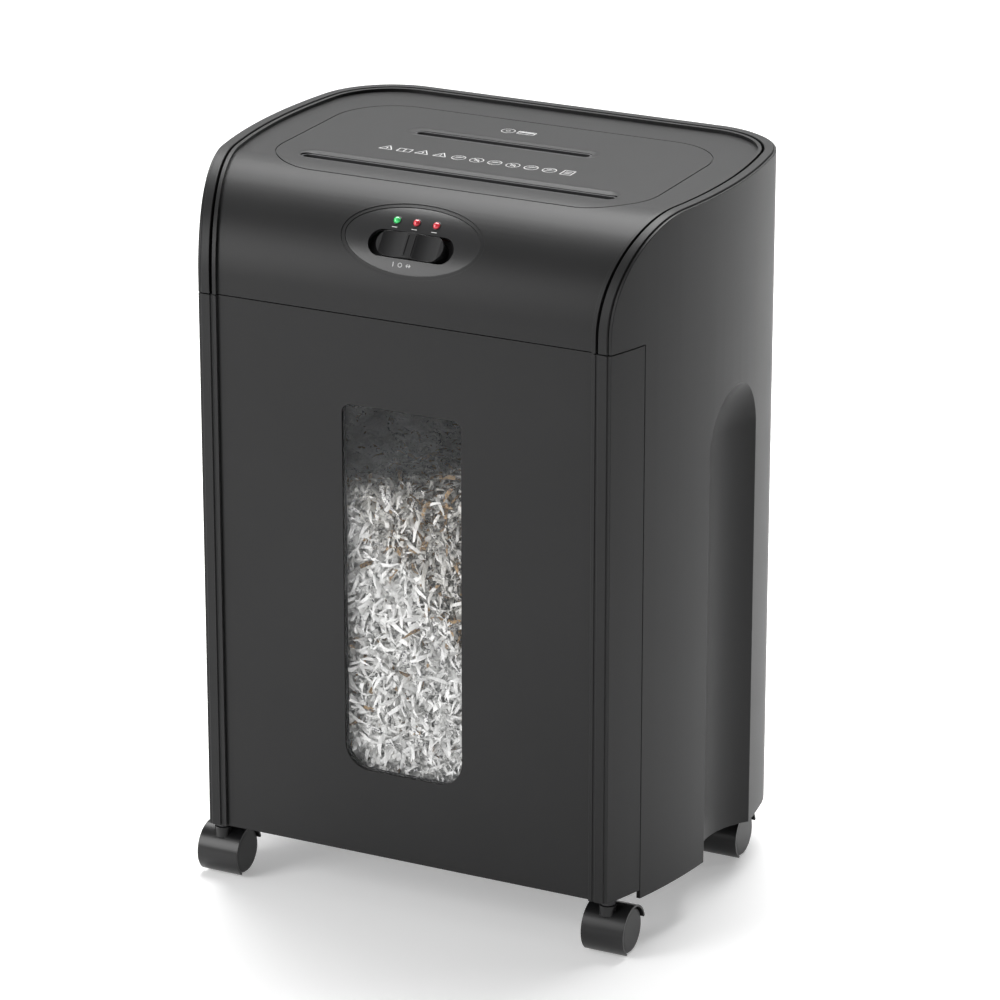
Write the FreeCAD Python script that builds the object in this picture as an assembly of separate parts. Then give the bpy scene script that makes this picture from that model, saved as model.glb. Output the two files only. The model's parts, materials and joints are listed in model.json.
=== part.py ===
import FreeCAD, Part
import math
import os

V = FreeCAD.Vector

# Paper shredder with a pull-out bin, in millimetres, +Z up, front facing -Y.
# Everything is drawn with y = 0 on the front plane and z = 0 on the floor, and
# moved back by half the depth on export, so the origin is the middle of the footprint.

# ---- outer size -----------------------------------------------------------------
DEPTH = 254.0
HEIGHT = 490.0
FRONT_WIDTH = 291.6         # across the front, over both bands
BODY_WIDTH = 342.6          # across the bulging sides
BULGE_Y = 138.0             # where the sides are widest
REAR_CORNER_R = 58.0
FRONT_ROUND_R = 70.0        # big round from the front to the top
WALL = 2.6                  # casing wall

# ---- casters --------------------------------------------------------------------
WHEEL_R = 15.5
WHEEL_WIDTH = 11.4
WHEEL_GAP = 2.6             # half the space between the two wheels
HOOD_GAP = 0.4              # between the wheels and the hood
HOOD_T = 1.4
HOOD_R = WHEEL_R + HOOD_GAP + HOOD_T
HOOD_HALF = WHEEL_GAP + WHEEL_WIDTH + 1.0
HOOD_FRONT_DEG = 232.0      # hood runs from low at the front over the top
HOOD_REAR_DEG = 14.0        # to just above the axle at the rear
STEM_R = 3.2
STEM_CLEAR = 0.05
STEM_TRAIL = 8.0            # axle behind the stem
AXLE_R = 2.5
AXLE_CLEAR = 0.06
FRONT_CASTER_X = 142.0
FRONT_STEM_Y = HOOD_R - STEM_TRAIL + 2.3
REAR_CASTER_X = 145.0
REAR_STEM_FROM_REAR = 69.2
REAR_STEM_Y = DEPTH - REAR_STEM_FROM_REAR

# ---- seams and edges ------------------------------------------------------------
SEAM_Z = HEIGHT - 79.0      # between the bin front and the head
SEAM_GAP = 0.6
WRAP_Y = 30.0               # the bin front wraps round the side to here
SKIRT_Z = WHEEL_R + HOOD_R + 0.8
BIN_FRONT_Z = SKIRT_Z + 6.1
EDGE_SET_BACK = 1.0         # side panels end this far below the rim's face
REAR_SET_IN = 1.5           # rear panel's face inside the casing's rear

# ---- rim moulding round the face ------------------------------------------------
EDGE_STRIP = 2.0
BAND = 5.8
GROOVE = 1.8
BEAD = 2.4
FACE_DROP = 2.5             # the face lies this far behind the band
BEAD_DROP = 0.3
FACE_WALL = 3.0
RIM_GAP = 0.15              # between the rim and the side panels

# ---- hand scoops in the sides ---------------------------------------------------
SCOOP_R = 55.5
SCOOP_Y = 137.7
SCOOP_DEPTH = 15.7
SCOOP_TOP_CENTRE_Z = HEIGHT - 174.2

# ---- top slots ------------------------------------------------------------------
PAPER_SLOT_LENGTH = 222.0
PAPER_SLOT_Y = 81.7
CARD_SLOT_LENGTH = 125.0
CARD_SLOT_Y = PAPER_SLOT_Y + 77.4
SLOT_GAP = 6.0
PAPER_SLOT_X = -1.0
CARD_SLOT_X = -6.5
DISH_HALF = 10.0            # shallow trough each side of the paper slot
DISH_DEPTH = 1.8
DISH_END = 4.0              # the trough runs on past each end of the slot
CARD_DISH_HALF = 9.0
CARD_DISH_DEPTH = 1.2
CARD_DISH_END = 8.0
PAD_LINE_WIDTH = 0.8        # fine line that frames both slots
PAD_LINE_DEPTH = 0.7
PAD_HALF = 135.0
PAD_FRONT_Y = 54.0
PAD_REAR_Y = DEPTH - 43.0
PAD_CORNER_R = 42.0
CHUTE_WALL = 1.6

# ---- control panel on the round -------------------------------------------------
PANEL_LENGTH = 95.0
PANEL_HEIGHT = 46.0
PANEL_X = 0.0
PANEL_ANGLE = 38.5          # place on the round, from the front, in degrees
BEZEL_SINK = 0.8
PANEL_FIT = 0.2
PANEL_STEP = 2.6            # step round the panel's edge
PANEL_STEP_DEPTH = 0.4
PANEL_FLANGE = 3.0
PANEL_FLANGE_T = 1.4
SWITCH_SLOT_LENGTH = 60.0
SWITCH_SLOT_HEIGHT = 18.0
SWITCH_DROP = 4.5           # slot below the panel's middle
KNOB_LENGTH = 47.0
KNOB_TRAVEL = 5.5
KNOB_FIT = 0.5
KNOB_RISE = 0.9
DIP_HALF = 8.6              # half width of each thumb dip
DIP_DEPTH = 2.0
RIDGE_GAP = 5.0
RIDGE_R = 0.5
LENS_R = 2.4
LENS_PITCH = 13.9
LENS_RISE = 11.8
LENS_X = -1.1

# ---- base -----------------------------------------------------------------------
BASE_Z = SKIRT_Z + 4.4
BASE_T = 3.0
BASE_FRONT_Y = 6.4
CASING_GAP = 0.5
SOCKET_WALL = 1.4
SOCKET_TOP_Z = BASE_Z + 20.0
SOCKET_BOTTOM_Z = BASE_Z - 2.6

# ---- cutting block --------------------------------------------------------------
BLOCK_X = -4.0              # middle of the cutting block
NIP_Y = PAPER_SLOT_Y + 38.6
CUT_Z = HEIGHT - 81.0
CUTTER_CENTRES = 40.0
CUTTER_R = CUTTER_CENTRES / 2 + 1.4
CUTTER_CORE_R = CUTTER_R - 3.8
CUTTER_LAND = 3.7
CUTTER_PITCH = 8.0
CUTTER_LANDS = 28
CUTTER_FLUTES = 6
JOURNAL_R = 7.0
JOURNAL_CLEAR = 0.05
BUSH_WALL = 3.0
PLATE_T = 3.0
PLATE_HALF = PAPER_SLOT_LENGTH / 2 + 8.0   # inside face of each side plate, from the middle
PLATE_LOW_Z = CUT_Z - 31.0
PLATE_HIGH_Z = CUT_Z + 35.0
PLATE_FRONT_Y = NIP_Y - 53.8
PLATE_REAR_Y = NIP_Y + 56.2
TIE_ROD_R = 4.0
COMB_CLEAR = 0.5
COMB_HEIGHT = 12.0

# ---- bin ------------------------------------------------------------------------
TUB_HALF = 134.0
TUB_REAR_Y = DEPTH - 28.0
TUB_FLOOR_Z = BASE_Z + 10.0
TUB_TOP_Z = CUT_Z - 46.0
TUB_WALL = 2.0
TUB_CORNER_R = 22.0
TUB_LIP = 4.0
WINDOW_WIDTH = 85.0
WINDOW_X = -1.2
WINDOW_LOW_Z = TUB_FLOOR_Z + 51.6
WINDOW_HIGH_Z = TUB_TOP_Z - 12.1
WINDOW_LOW_R = 18.0
WINDOW_HIGH_R = 6.0
WINDOW_T = 2.2
WINDOW_FLANGE = 5.0
WINDOW_FIT = 0.2
RUNNER_X = 96.0
RUNNER_WIDTH = 12.0
SLIDE_GAP = 0.4

# ---- gear train -----------------------------------------------------------------
SYNC_TEETH = 20
FINAL_TEETH = 44
FINAL_PINION_TEETH = 14
FINAL_MODULE = 1.25
MIDDLE_TEETH = 50
MIDDLE_PINION_TEETH = 12
MIDDLE_MODULE = 1.0
FIRST_TEETH = 48
MOTOR_PINION_TEETH = 12
FIRST_MODULE = 0.8
BACKLASH = 0.16
GEAR_WIDTH = 6.5
GEAR_SPACE = 1.6
GEARBOX_HIGH_Z = CUT_Z + 57.0
POST_R = 3.0
POST_CLEAR = 0.05

# ---- motor ----------------------------------------------------------------------
MOTOR_Y = NIP_Y + 87.2
MOTOR_Z = CUT_Z + 7.0
MOTOR_R = 28.0
DRIVE_PLATE_REAR_Y = MOTOR_Y + MOTOR_R + 1.0
MOTOR_LENGTH = 96.0
MOTOR_WALL = 2.2
ROTOR_R = 21.0
MOTOR_SHAFT_R = 3.0
FAN_R = 24.0
FAN_BLADES = 9
FAN_WIDTH = 9.0

# ---- head tray, rear panel ------------------------------------------------------
TRAY_Z = CUT_Z - 39.0
TRAY_T = 2.4
REAR_HALF = 108.0
PANEL_SPLIT = 0.4
VENT_COUNT = 9
VENT_PITCH = 7.0
VENT_HEIGHT = 3.0
VENT_LENGTH = 90.0
VENT_LOW_Z = HEIGHT - 100.0
GLAND_X = -78.0
GLAND_Z = HEIGHT - 96.0
GLAND_R = 7.5
SCREW_HEAD_R = 3.6

FAR = 400.0                 # longer than anything, for cutting tools


def box(x0, x1, y0, y1, z0, z1):
    return Part.makeBox(x1 - x0, y1 - y0, z1 - z0, V(x0, y0, z0))


def rod_x(radius, x0, x1, y, z):
    return Part.makeCylinder(radius, x1 - x0, V(x0, y, z), V(1, 0, 0))


def rod_y(radius, y0, y1, x, z):
    return Part.makeCylinder(radius, y1 - y0, V(x, y0, z), V(0, 1, 0))


def rod_z(radius, z0, z1, x, y):
    return Part.makeCylinder(radius, z1 - z0, V(x, y, z0), V(0, 0, 1))


def prism(wire, vector):
    return Part.Face(wire).extrude(vector)


def mirrored_x(shape):
    return shape.mirror(V(0, 0, 0), V(1, 0, 0))


# ---- the outline in plan --------------------------------------------------------

def side_radius():
    """Radius of the bulging side in plan."""
    bulge = (BODY_WIDTH - FRONT_WIDTH) / 2
    return (BULGE_Y ** 2 + bulge ** 2) / (2 * bulge)


def plan_wire(inset, z, front_y=None):
    """Closed outline in plan: straight front, bulging sides, round rear corners."""
    side_r = side_radius()
    centre = V(BODY_WIDTH / 2 - side_r, BULGE_Y, 0)
    corner_y = DEPTH - REAR_CORNER_R
    reach = side_r - REAR_CORNER_R
    corner = V(centre.x + math.sqrt(reach ** 2 - (corner_y - BULGE_Y) ** 2), corner_y, 0)
    y0 = inset if front_y is None else front_y
    radius = side_r - inset
    start = V(centre.x + math.sqrt(radius ** 2 - (y0 - BULGE_Y) ** 2), y0, 0)
    touch_angle = math.atan2(corner.y - centre.y, corner.x - centre.x)
    start_angle = math.atan2(start.y - centre.y, start.x - centre.x)
    middle_angle = (touch_angle + start_angle) / 2
    touch = centre + V(math.cos(touch_angle), math.sin(touch_angle), 0) * radius
    middle = centre + V(math.cos(middle_angle), math.sin(middle_angle), 0) * radius
    corner_r = REAR_CORNER_R - inset
    round_angle = (touch_angle + math.pi / 2) / 2
    round_middle = corner + V(math.cos(round_angle), math.sin(round_angle), 0) * corner_r
    rear = corner + V(0, corner_r, 0)

    def flip(p):
        return V(-p.x, p.y, 0)

    edges = [
        Part.makeLine(flip(start), start),
        Part.Arc(start, middle, touch).toShape(),
        Part.Arc(touch, round_middle, rear).toShape(),
        Part.makeLine(rear, flip(rear)),
        Part.Arc(flip(rear), flip(round_middle), flip(touch)).toShape(),
        Part.Arc(flip(touch), flip(middle), flip(start)).toShape(),
    ]
    wire = Part.Wire(edges)
    wire.translate(V(0, 0, z))
    return wire


def side_x(inset, y):
    """Half width of the outline at a depth y."""
    side_r = side_radius()
    return BODY_WIDTH / 2 - side_r + math.sqrt((side_r - inset) ** 2 - (y - BULGE_Y) ** 2)


def casing_block(inset):
    """The whole casing as a solid with upright sides."""
    return prism(plan_wire(inset, 0), V(0, 0, HEIGHT))


def rim_prism(inset):
    """Upright prism of the outline, drawn in, reaching past the front."""
    return prism(plan_wire(EDGE_STRIP + inset, -1, -1), V(0, 0, HEIGHT + 2))


def face_block(drop):
    """Everything behind the front and under the top, set back by drop."""
    centre_y = FRONT_ROUND_R
    centre_z = HEIGHT - FRONT_ROUND_R
    radius = FRONT_ROUND_R - drop
    diagonal = radius / math.sqrt(2)
    points = [V(-FAR, drop, -1), V(-FAR, drop, centre_z)]
    middle = V(-FAR, centre_y - diagonal, centre_z + diagonal)
    arc_end = V(-FAR, centre_y, HEIGHT - drop)
    rear_top = V(-FAR, DEPTH + 1, HEIGHT - drop)
    rear_low = V(-FAR, DEPTH + 1, -1)
    wire = Part.Wire([
        Part.makeLine(points[0], points[1]),
        Part.Arc(points[1], middle, arc_end).toShape(),
        Part.makeLine(arc_end, rear_top),
        Part.makeLine(rear_top, rear_low),
        Part.makeLine(rear_low, points[0]),
    ])
    return prism(wire, V(2 * FAR, 0, 0))


def scoop(side, grow):
    """Round-topped upright hollow for a hand, on one side of the casing."""
    x = side * (side_x(0, SCOOP_Y) - SCOOP_DEPTH + SCOOP_R)
    radius = SCOOP_R + grow
    tube = rod_z(radius, -1, SCOOP_TOP_CENTRE_Z, x, SCOOP_Y)
    dome = Part.makeSphere(radius, V(x, SCOOP_Y, SCOOP_TOP_CENTRE_Z))
    return tube.fuse(dome)


# ---- casing ---------------------------------------------------------------------

def casing_shell():
    outer = casing_block(0).cut(scoop(1, 0)).cut(scoop(-1, 0))
    inner = casing_block(WALL).cut(scoop(1, WALL)).cut(scoop(-1, WALL))
    shell = outer.cut(inner).common(face_block(EDGE_SET_BACK))
    return shell.cut(box(-FAR, FAR, -1, DEPTH + 1, -1, SKIRT_Z))


def side_panel(shell, side):
    """One tall side panel with its hand scoop and rear corner."""
    front_gap = box(-FAR, FAR, -1, WRAP_Y + SEAM_GAP, -1, SEAM_Z + SEAM_GAP / 2)
    inner_x = REAR_HALF + PANEL_SPLIT
    keep = box(inner_x, FAR, -1, DEPTH + 1, -1, HEIGHT + 1)
    if side < 0:
        keep = mirrored_x(keep)
    rim_seat = face_block(0).cut(face_block(FACE_WALL + RIM_GAP)).common(rim_prism(-RIM_GAP))
    return shell.common(keep).cut(front_gap).cut(rim_seat)


def rear_panel():
    face = DEPTH - REAR_SET_IN
    top = HEIGHT - FACE_DROP - FACE_WALL - 0.4
    panel = box(-REAR_HALF, REAR_HALF, face - WALL, face, SKIRT_Z, top)
    for i in range(VENT_COUNT):
        z = VENT_LOW_Z + i * VENT_PITCH
        x0 = 10.0
        panel = panel.cut(box(x0, x0 + VENT_LENGTH, face - WALL - 1, face + 1, z, z + VENT_HEIGHT))
    return panel.cut(rod_y(GLAND_R, face - WALL - 1, face + 1, GLAND_X, GLAND_Z))


def cord_gland():
    face = DEPTH - REAR_SET_IN
    body = rod_y(GLAND_R - 0.1, face - WALL - 2, face, GLAND_X, GLAND_Z)
    flange = rod_y(GLAND_R + 1.5, face, DEPTH, GLAND_X, GLAND_Z)
    nut = rod_y(GLAND_R + 2.0, face - WALL - 5, face - WALL, GLAND_X, GLAND_Z)
    return body.fuse(flange).fuse(nut).cut(rod_y(3.5, face - 20, DEPTH + 1, GLAND_X, GLAND_Z))


def rear_screws():
    face = DEPTH - REAR_SET_IN
    screws = []
    for x in (-REAR_HALF + 12, REAR_HALF - 12):
        for z in (60.0, 220.0, HEIGHT - 20):
            head = rod_y(SCREW_HEAD_R, face, face + 1.2, x, z)
            slot = box(x - 3, x + 3, face + 0.5, face + 2, z - 0.5, z + 0.5)
            screws.append(head.cut(slot))
    return Part.makeCompound(screws)


# ---- head -----------------------------------------------------------------------

def above_seam():
    return box(-FAR, FAR, -1, DEPTH + 1, SEAM_Z + SEAM_GAP / 2, HEIGHT + 1)


def head_rim():
    """The band that frames the front, the round and the top."""
    ring = face_block(0).cut(face_block(FACE_WALL))
    ring = ring.common(rim_prism(0)).cut(rim_prism(BAND))
    lip = face_block(FACE_WALL - 0.5).cut(face_block(FACE_WALL * 2))
    lip = lip.common(rim_prism(BAND - 2.4)).cut(rim_prism(BAND))
    return ring.fuse(lip).common(above_seam())


def face_frame_inset():
    return BAND + GROOVE


def panel_normal():
    a = math.radians(PANEL_ANGLE)
    return V(0, -math.cos(a), math.sin(a))


def panel_up():
    a = math.radians(PANEL_ANGLE)
    return V(0, math.sin(a), math.cos(a))


def panel_point(x, up, out):
    """A point over the control panel: along X, up the slope, out of the face."""
    centre = V(0, FRONT_ROUND_R, HEIGHT - FRONT_ROUND_R)
    surface = centre + panel_normal() * (FRONT_ROUND_R - FACE_DROP)
    return surface + V(x, 0, 0) + panel_up() * up + panel_normal() * out


def oval_prism(length, height, x, up, out0, out1):
    """An elongated rounded tile lying on the control panel's plane."""
    radius = height / 2
    half = length / 2 - radius
    a = panel_point(x - half, up + radius, out0)
    b = panel_point(x + half, up + radius, out0)
    c = panel_point(x + half + radius, up, out0)
    d = panel_point(x + half, up - radius, out0)
    e = panel_point(x - half, up - radius, out0)
    f = panel_point(x - half - radius, up, out0)
    wire = Part.Wire([
        Part.makeLine(a, b),
        Part.Arc(b, c, d).toShape(),
        Part.makeLine(d, e),
        Part.Arc(e, f, a).toShape(),
    ])
    return prism(wire, panel_normal() * (out1 - out0))


def round_prism(radius, x, up, out0, out1):
    return Part.makeCylinder(radius, out1 - out0, panel_point(x, up, out0), panel_normal())


def round_ended(length, x, y, gap, z0, z1):
    """Upright block with round ends, two gaps wide."""
    reach = length / 2 - gap
    block = box(x - reach, x + reach, y - gap, y + gap, z0, z1)
    for end in (x - reach, x + reach):
        block = block.fuse(rod_z(gap, z0, z1, end, y))
    return block


def slot_cut(length, x, y, widen):
    return round_ended(length + 2 * widen, x, y, SLOT_GAP / 2 + widen, CUT_Z, HEIGHT + 1)


def dish_cut(length, x, y, half_width, depth, end_run):
    """Shallow trough with round ends that guides a sheet into a slot."""
    radius = (half_width ** 2 + depth ** 2) / (2 * depth)
    z = HEIGHT - FACE_DROP - depth + radius
    reach = length / 2 + end_run - half_width
    trough = rod_x(radius, x - reach, x + reach, y, z)
    for end in (x - reach, x + reach):
        trough = trough.fuse(Part.makeSphere(radius, V(end, y, z)))
    return trough


def paper_dish():
    return dish_cut(PAPER_SLOT_LENGTH, PAPER_SLOT_X, PAPER_SLOT_Y, DISH_HALF, DISH_DEPTH, DISH_END)


def card_dish():
    length = CARD_SLOT_LENGTH
    return dish_cut(length, CARD_SLOT_X, CARD_SLOT_Y, CARD_DISH_HALF, CARD_DISH_DEPTH, CARD_DISH_END)


def frame_block(inset):
    """Upright block with big round corners, round both slots."""
    x, r = PAD_HALF - inset, PAD_CORNER_R - inset
    block = box(-x, x, PAD_FRONT_Y + inset, PAD_REAR_Y - inset, CUT_Z, HEIGHT + 1)
    uprights = [edge for edge in block.Edges if abs(edge.tangentAt(edge.FirstParameter).z) > 0.9]
    return block.makeFillet(r, uprights)


def frame_line():
    """Cutter for the fine line that frames the slots, following the round in front."""
    ring = frame_block(0).cut(frame_block(PAD_LINE_WIDTH))
    return ring.common(face_block(0).cut(face_block(FACE_DROP + PAD_LINE_DEPTH)))


def panel_step():
    """Cutter for the shallow step round the control panel."""
    skin = face_block(0).cut(face_block(FACE_DROP + PANEL_STEP_DEPTH))
    return skin.common(panel_ellipse(PANEL_STEP, -30, 8))


def top_cover():
    """Face of the head: front, round and top in one piece, inside the rim."""
    outer = face_frame_inset()
    bead = face_block(BEAD_DROP).cut(face_block(FACE_DROP + FACE_WALL))
    bead = bead.common(rim_prism(outer)).cut(rim_prism(outer + BEAD))
    skin = face_block(FACE_DROP).cut(face_block(FACE_DROP + FACE_WALL))
    skin = skin.common(rim_prism(outer + BEAD - 0.1))
    cover = bead.fuse(skin).common(above_seam()).cut(frame_line()).cut(panel_step())
    cover = cover.cut(paper_dish())
    cover = cover.cut(card_dish())
    cover = cover.cut(slot_cut(PAPER_SLOT_LENGTH, PAPER_SLOT_X, PAPER_SLOT_Y, CHUTE_WALL))
    cover = cover.cut(slot_cut(CARD_SLOT_LENGTH, CARD_SLOT_X, CARD_SLOT_Y, CHUTE_WALL))
    return cover.cut(panel_ellipse(0, -12, 8))


def panel_ellipse(grow, out0, out1):
    """Elliptical prism of the control panel, square to the round."""
    major = PANEL_LENGTH / 2 + grow
    minor = PANEL_HEIGHT / 2 + grow
    tip = panel_point(PANEL_X + major, 0, out0)
    side = panel_point(PANEL_X, minor, out0)
    ellipse = Part.Ellipse(tip, side, panel_point(PANEL_X, 0, out0))
    return prism(Part.Wire(ellipse.toShape()), panel_normal() * (out1 - out0))


def bezel_drop():
    return FACE_DROP + BEZEL_SINK


def control_bezel():
    """Oval panel that follows the round, a little below it, with a flange behind."""
    low = FACE_DROP + FACE_WALL + PANEL_FLANGE_T
    plate = face_block(bezel_drop()).cut(face_block(low)).common(panel_ellipse(-PANEL_FIT, -30, 8))
    flange = face_block(FACE_DROP + FACE_WALL + 0.05).cut(face_block(low))
    plate = plate.fuse(flange.common(panel_ellipse(PANEL_FLANGE, -30, 8)))
    plate = plate.cut(oval_prism(SWITCH_SLOT_LENGTH, SWITCH_SLOT_HEIGHT, PANEL_X, -SWITCH_DROP, -14, 8))
    for i in (-1, 0, 1):
        plate = plate.cut(round_prism(LENS_R, lens_x(i), LENS_RISE, -14, 8))
    return plate


def lens_x(i):
    return PANEL_X + LENS_X + i * LENS_PITCH


def lens_top():
    """How far the sunk panel lies below the chord plane at the lenses."""
    radius = FRONT_ROUND_R - FACE_DROP
    return -BEZEL_SINK - (radius - math.sqrt(radius ** 2 - LENS_RISE ** 2))


def lens(i):
    x = lens_x(i)
    top = lens_top()
    body = round_prism(LENS_R - 0.05, x, LENS_RISE, -8.5, top - 0.4)
    foot = round_prism(LENS_R + 0.8, x, LENS_RISE, -8.5, -7.2)
    dome = Part.makeSphere(LENS_R - 0.05, panel_point(x, LENS_RISE, top - 0.4))
    return body.fuse(foot).fuse(dome)


def mode_switch():
    """Sliding switch button with two thumb dips and a ridge between them."""
    height = SWITCH_SLOT_HEIGHT - 2 * KNOB_FIT
    drop = -SWITCH_DROP
    button = oval_prism(KNOB_LENGTH, height, PANEL_X, drop, -8.4, KNOB_RISE)
    dip_r = (DIP_HALF ** 2 + DIP_DEPTH ** 2) / (2 * DIP_DEPTH)
    for side in (-1, 1):
        x = PANEL_X + side * KNOB_LENGTH * 0.255
        base = panel_point(x, drop - height, KNOB_RISE - DIP_DEPTH + dip_r)
        button = button.cut(Part.makeCylinder(dip_r, 2 * height, base, panel_up()))
    for x in (PANEL_X - RIDGE_GAP / 2, PANEL_X + RIDGE_GAP / 2):
        low = panel_point(x, drop - height / 2 + 1.5, KNOB_RISE)
        button = button.fuse(Part.makeCylinder(RIDGE_R, height - 3.0, low, panel_up()))
    stalk = oval_prism(8, 4, PANEL_X, drop, -10.4, -8.3)
    return button.fuse(stalk)


def switch_body():
    """Slide switch under the bezel, with the pocket that the stalk runs in."""
    length = SWITCH_SLOT_LENGTH + 4
    body = oval_prism(length, SWITCH_SLOT_HEIGHT + 2, PANEL_X, -SWITCH_DROP, -15.4, -8.8)
    pocket = oval_prism(8 + 2 * KNOB_TRAVEL + 1.5, 5.2, PANEL_X, -SWITCH_DROP, -10.8, -8.7)
    return body.cut(pocket)


def control_board():
    board = panel_ellipse(-6, -17, -15.4)
    for i in (-1, 0, 1):
        board = board.fuse(round_prism(1.8, lens_x(i), LENS_RISE, -15.5, -8.5))
    return board


def chute(length, x, y, dish_depth):
    """Flat funnel from a slot down to the nip between the cutters."""
    top_z = HEIGHT - FACE_DROP - dish_depth
    collar_z = HEIGHT - FACE_DROP - FACE_WALL - 0.3
    low_z = CUT_Z + CUTTER_R + 1.5
    low_y = NIP_Y + (y - NIP_Y) * 0.16

    def passage(widen, z_top, z_low):
        gap = SLOT_GAP / 2 + widen
        left = x - length / 2 - widen
        points = [
            V(left, y - gap, collar_z),
            V(left, y + gap, collar_z),
            V(left, low_y + gap, z_low),
            V(left, low_y - gap, z_low),
        ]
        slope = prism(Part.makePolygon(points + [points[0]]), V(length + 2 * widen, 0, 0))
        return round_ended(length + 2 * widen, x, y, gap, collar_z, z_top).fuse(slope)

    return passage(CHUTE_WALL - 0.1, top_z, low_z).cut(passage(0, top_z + 1, low_z - 1))


def paper_chute():
    return chute(PAPER_SLOT_LENGTH, PAPER_SLOT_X, PAPER_SLOT_Y, DISH_DEPTH)


def card_chute():
    return chute(CARD_SLOT_LENGTH, CARD_SLOT_X, CARD_SLOT_Y, CARD_DISH_DEPTH)


def paper_sensor():
    """Light gate clipped to the front of the paper chute."""
    y = PAPER_SLOT_Y - SLOT_GAP / 2 - CHUTE_WALL
    top = HEIGHT - FACE_DROP - FACE_WALL - 0.3
    return box(PAPER_SLOT_X - 8, PAPER_SLOT_X + 8, y - 12, y - 0.2, top - 9, top)


def head_tray():
    """Floor of the head, open under the cutters."""
    top = TRAY_Z + TRAY_T
    inset = WALL + CASING_GAP
    plate = prism(plan_wire(inset, TRAY_Z, BASE_FRONT_Y + 2), V(0, 0, TRAY_T))
    opening = box(BLOCK_X - PLATE_HALF + 4, BLOCK_X + PLATE_HALF - 4, NIP_Y - 38, NIP_Y + 38,
                  TRAY_Z - 1, top + 1)
    lip = box(BLOCK_X - PLATE_HALF, BLOCK_X + PLATE_HALF, NIP_Y - 42, NIP_Y + 42, top - 0.5, PLATE_LOW_Z)
    rear_face = box(-FAR, FAR, DEPTH - REAR_SET_IN - WALL - CASING_GAP, FAR, 0, HEIGHT)
    tray = plate.fuse(lip).cut(opening).cut(rear_face)
    hole = box(BLOCK_X - PLATE_HALF + 4, BLOCK_X + PLATE_HALF - 4, NIP_Y - 38, NIP_Y + 38, 0, HEIGHT)
    for side in (1, -1):
        tray = tray.cut(scoop(side, WALL + CASING_GAP))
    return tray.cut(hole)


# ---- cutters --------------------------------------------------------------------

def shaft_y(which):
    return NIP_Y + which * CUTTER_CENTRES / 2


def cutter_start(which):
    """Left end of the first land: the rear shaft is half a pitch along."""
    run = CUTTER_PITCH * CUTTER_LANDS
    return BLOCK_X - run / 2 + (CUTTER_PITCH / 4 if which > 0 else -CUTTER_PITCH / 4) + 1.0


def cutter_shaft(which, x_left, x_right):
    """Solid cutter: lands and grooves turned on a bar, then fluted into teeth."""
    y = shaft_y(which)
    first = cutter_start(which)
    points = [V(x_left, 0, 0), V(x_left, 0, JOURNAL_R)]
    points.append(V(BLOCK_X - PLATE_HALF + 0.6, 0, JOURNAL_R))
    points.append(V(BLOCK_X - PLATE_HALF + 0.6, 0, CUTTER_CORE_R))
    for i in range(CUTTER_LANDS):
        x = first + i * CUTTER_PITCH
        points.append(V(x, 0, CUTTER_CORE_R))
        points.append(V(x, 0, CUTTER_R))
        points.append(V(x + CUTTER_LAND, 0, CUTTER_R))
        points.append(V(x + CUTTER_LAND, 0, CUTTER_CORE_R))
    points.append(V(BLOCK_X + PLATE_HALF - 0.6, 0, CUTTER_CORE_R))
    points.append(V(BLOCK_X + PLATE_HALF - 0.6, 0, JOURNAL_R))
    points.append(V(x_right, 0, JOURNAL_R))
    points.append(V(x_right, 0, 0))
    wire = Part.makePolygon(points + [points[0]])
    bar = Part.Face(wire).revolve(V(0, 0, 0), V(1, 0, 0), 360)
    depth = CUTTER_R - CUTTER_CORE_R
    flute = Part.makePolygon([
        V(-FAR, 0, CUTTER_CORE_R + 0.3),
        V(-FAR, depth * 1.6, CUTTER_R + 1),
        V(-FAR, -0.6, CUTTER_R + 1),
        V(-FAR, 0, CUTTER_CORE_R + 0.3),
    ])
    tool = prism(flute, V(2 * FAR, 0, 0))
    flutes = []
    for i in range(CUTTER_FLUTES):
        turned = tool.copy()
        turned.rotate(V(0, 0, 0), V(1, 0, 0), i * 360.0 / CUTTER_FLUTES)
        flutes.append(turned)
    bar = bar.cut(flutes)
    bar.translate(V(0, y, CUT_Z))
    return bar


def comb(which):
    """Stripper comb: one tooth in each groove of a cutter, on its outer side."""
    y_shaft = shaft_y(which)
    first = cutter_start(which)
    tip = y_shaft + which * (CUTTER_CORE_R + COMB_CLEAR)
    root = y_shaft + which * (CUTTER_R + 1.2)
    back = root + which * 4.0
    gap = CUTTER_PITCH - CUTTER_LAND
    z = CUT_Z - COMB_HEIGHT / 2
    points = [V(first, back, z)]
    for i in range(CUTTER_LANDS - 1):
        x0 = first + i * CUTTER_PITCH + CUTTER_LAND + COMB_CLEAR
        x1 = x0 + gap - 2 * COMB_CLEAR
        points.append(V(x0, root, z))
        points.append(V(x0, tip, z))
        points.append(V(x1, tip, z))
        points.append(V(x1, root, z))
    end = first + CUTTER_LANDS * CUTTER_PITCH
    points.insert(1, V(first, root, z))
    points.append(V(end, root, z))
    points.append(V(end, back, z))
    points.append(points[0])
    return prism(Part.makePolygon(points), V(0, 0, COMB_HEIGHT))


def tie_rod_places():
    return [(y, z) for y in (PLATE_FRONT_Y + 8, PLATE_REAR_Y - 8)
            for z in (PLATE_LOW_Z + 7, PLATE_HIGH_Z - 7)]


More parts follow.
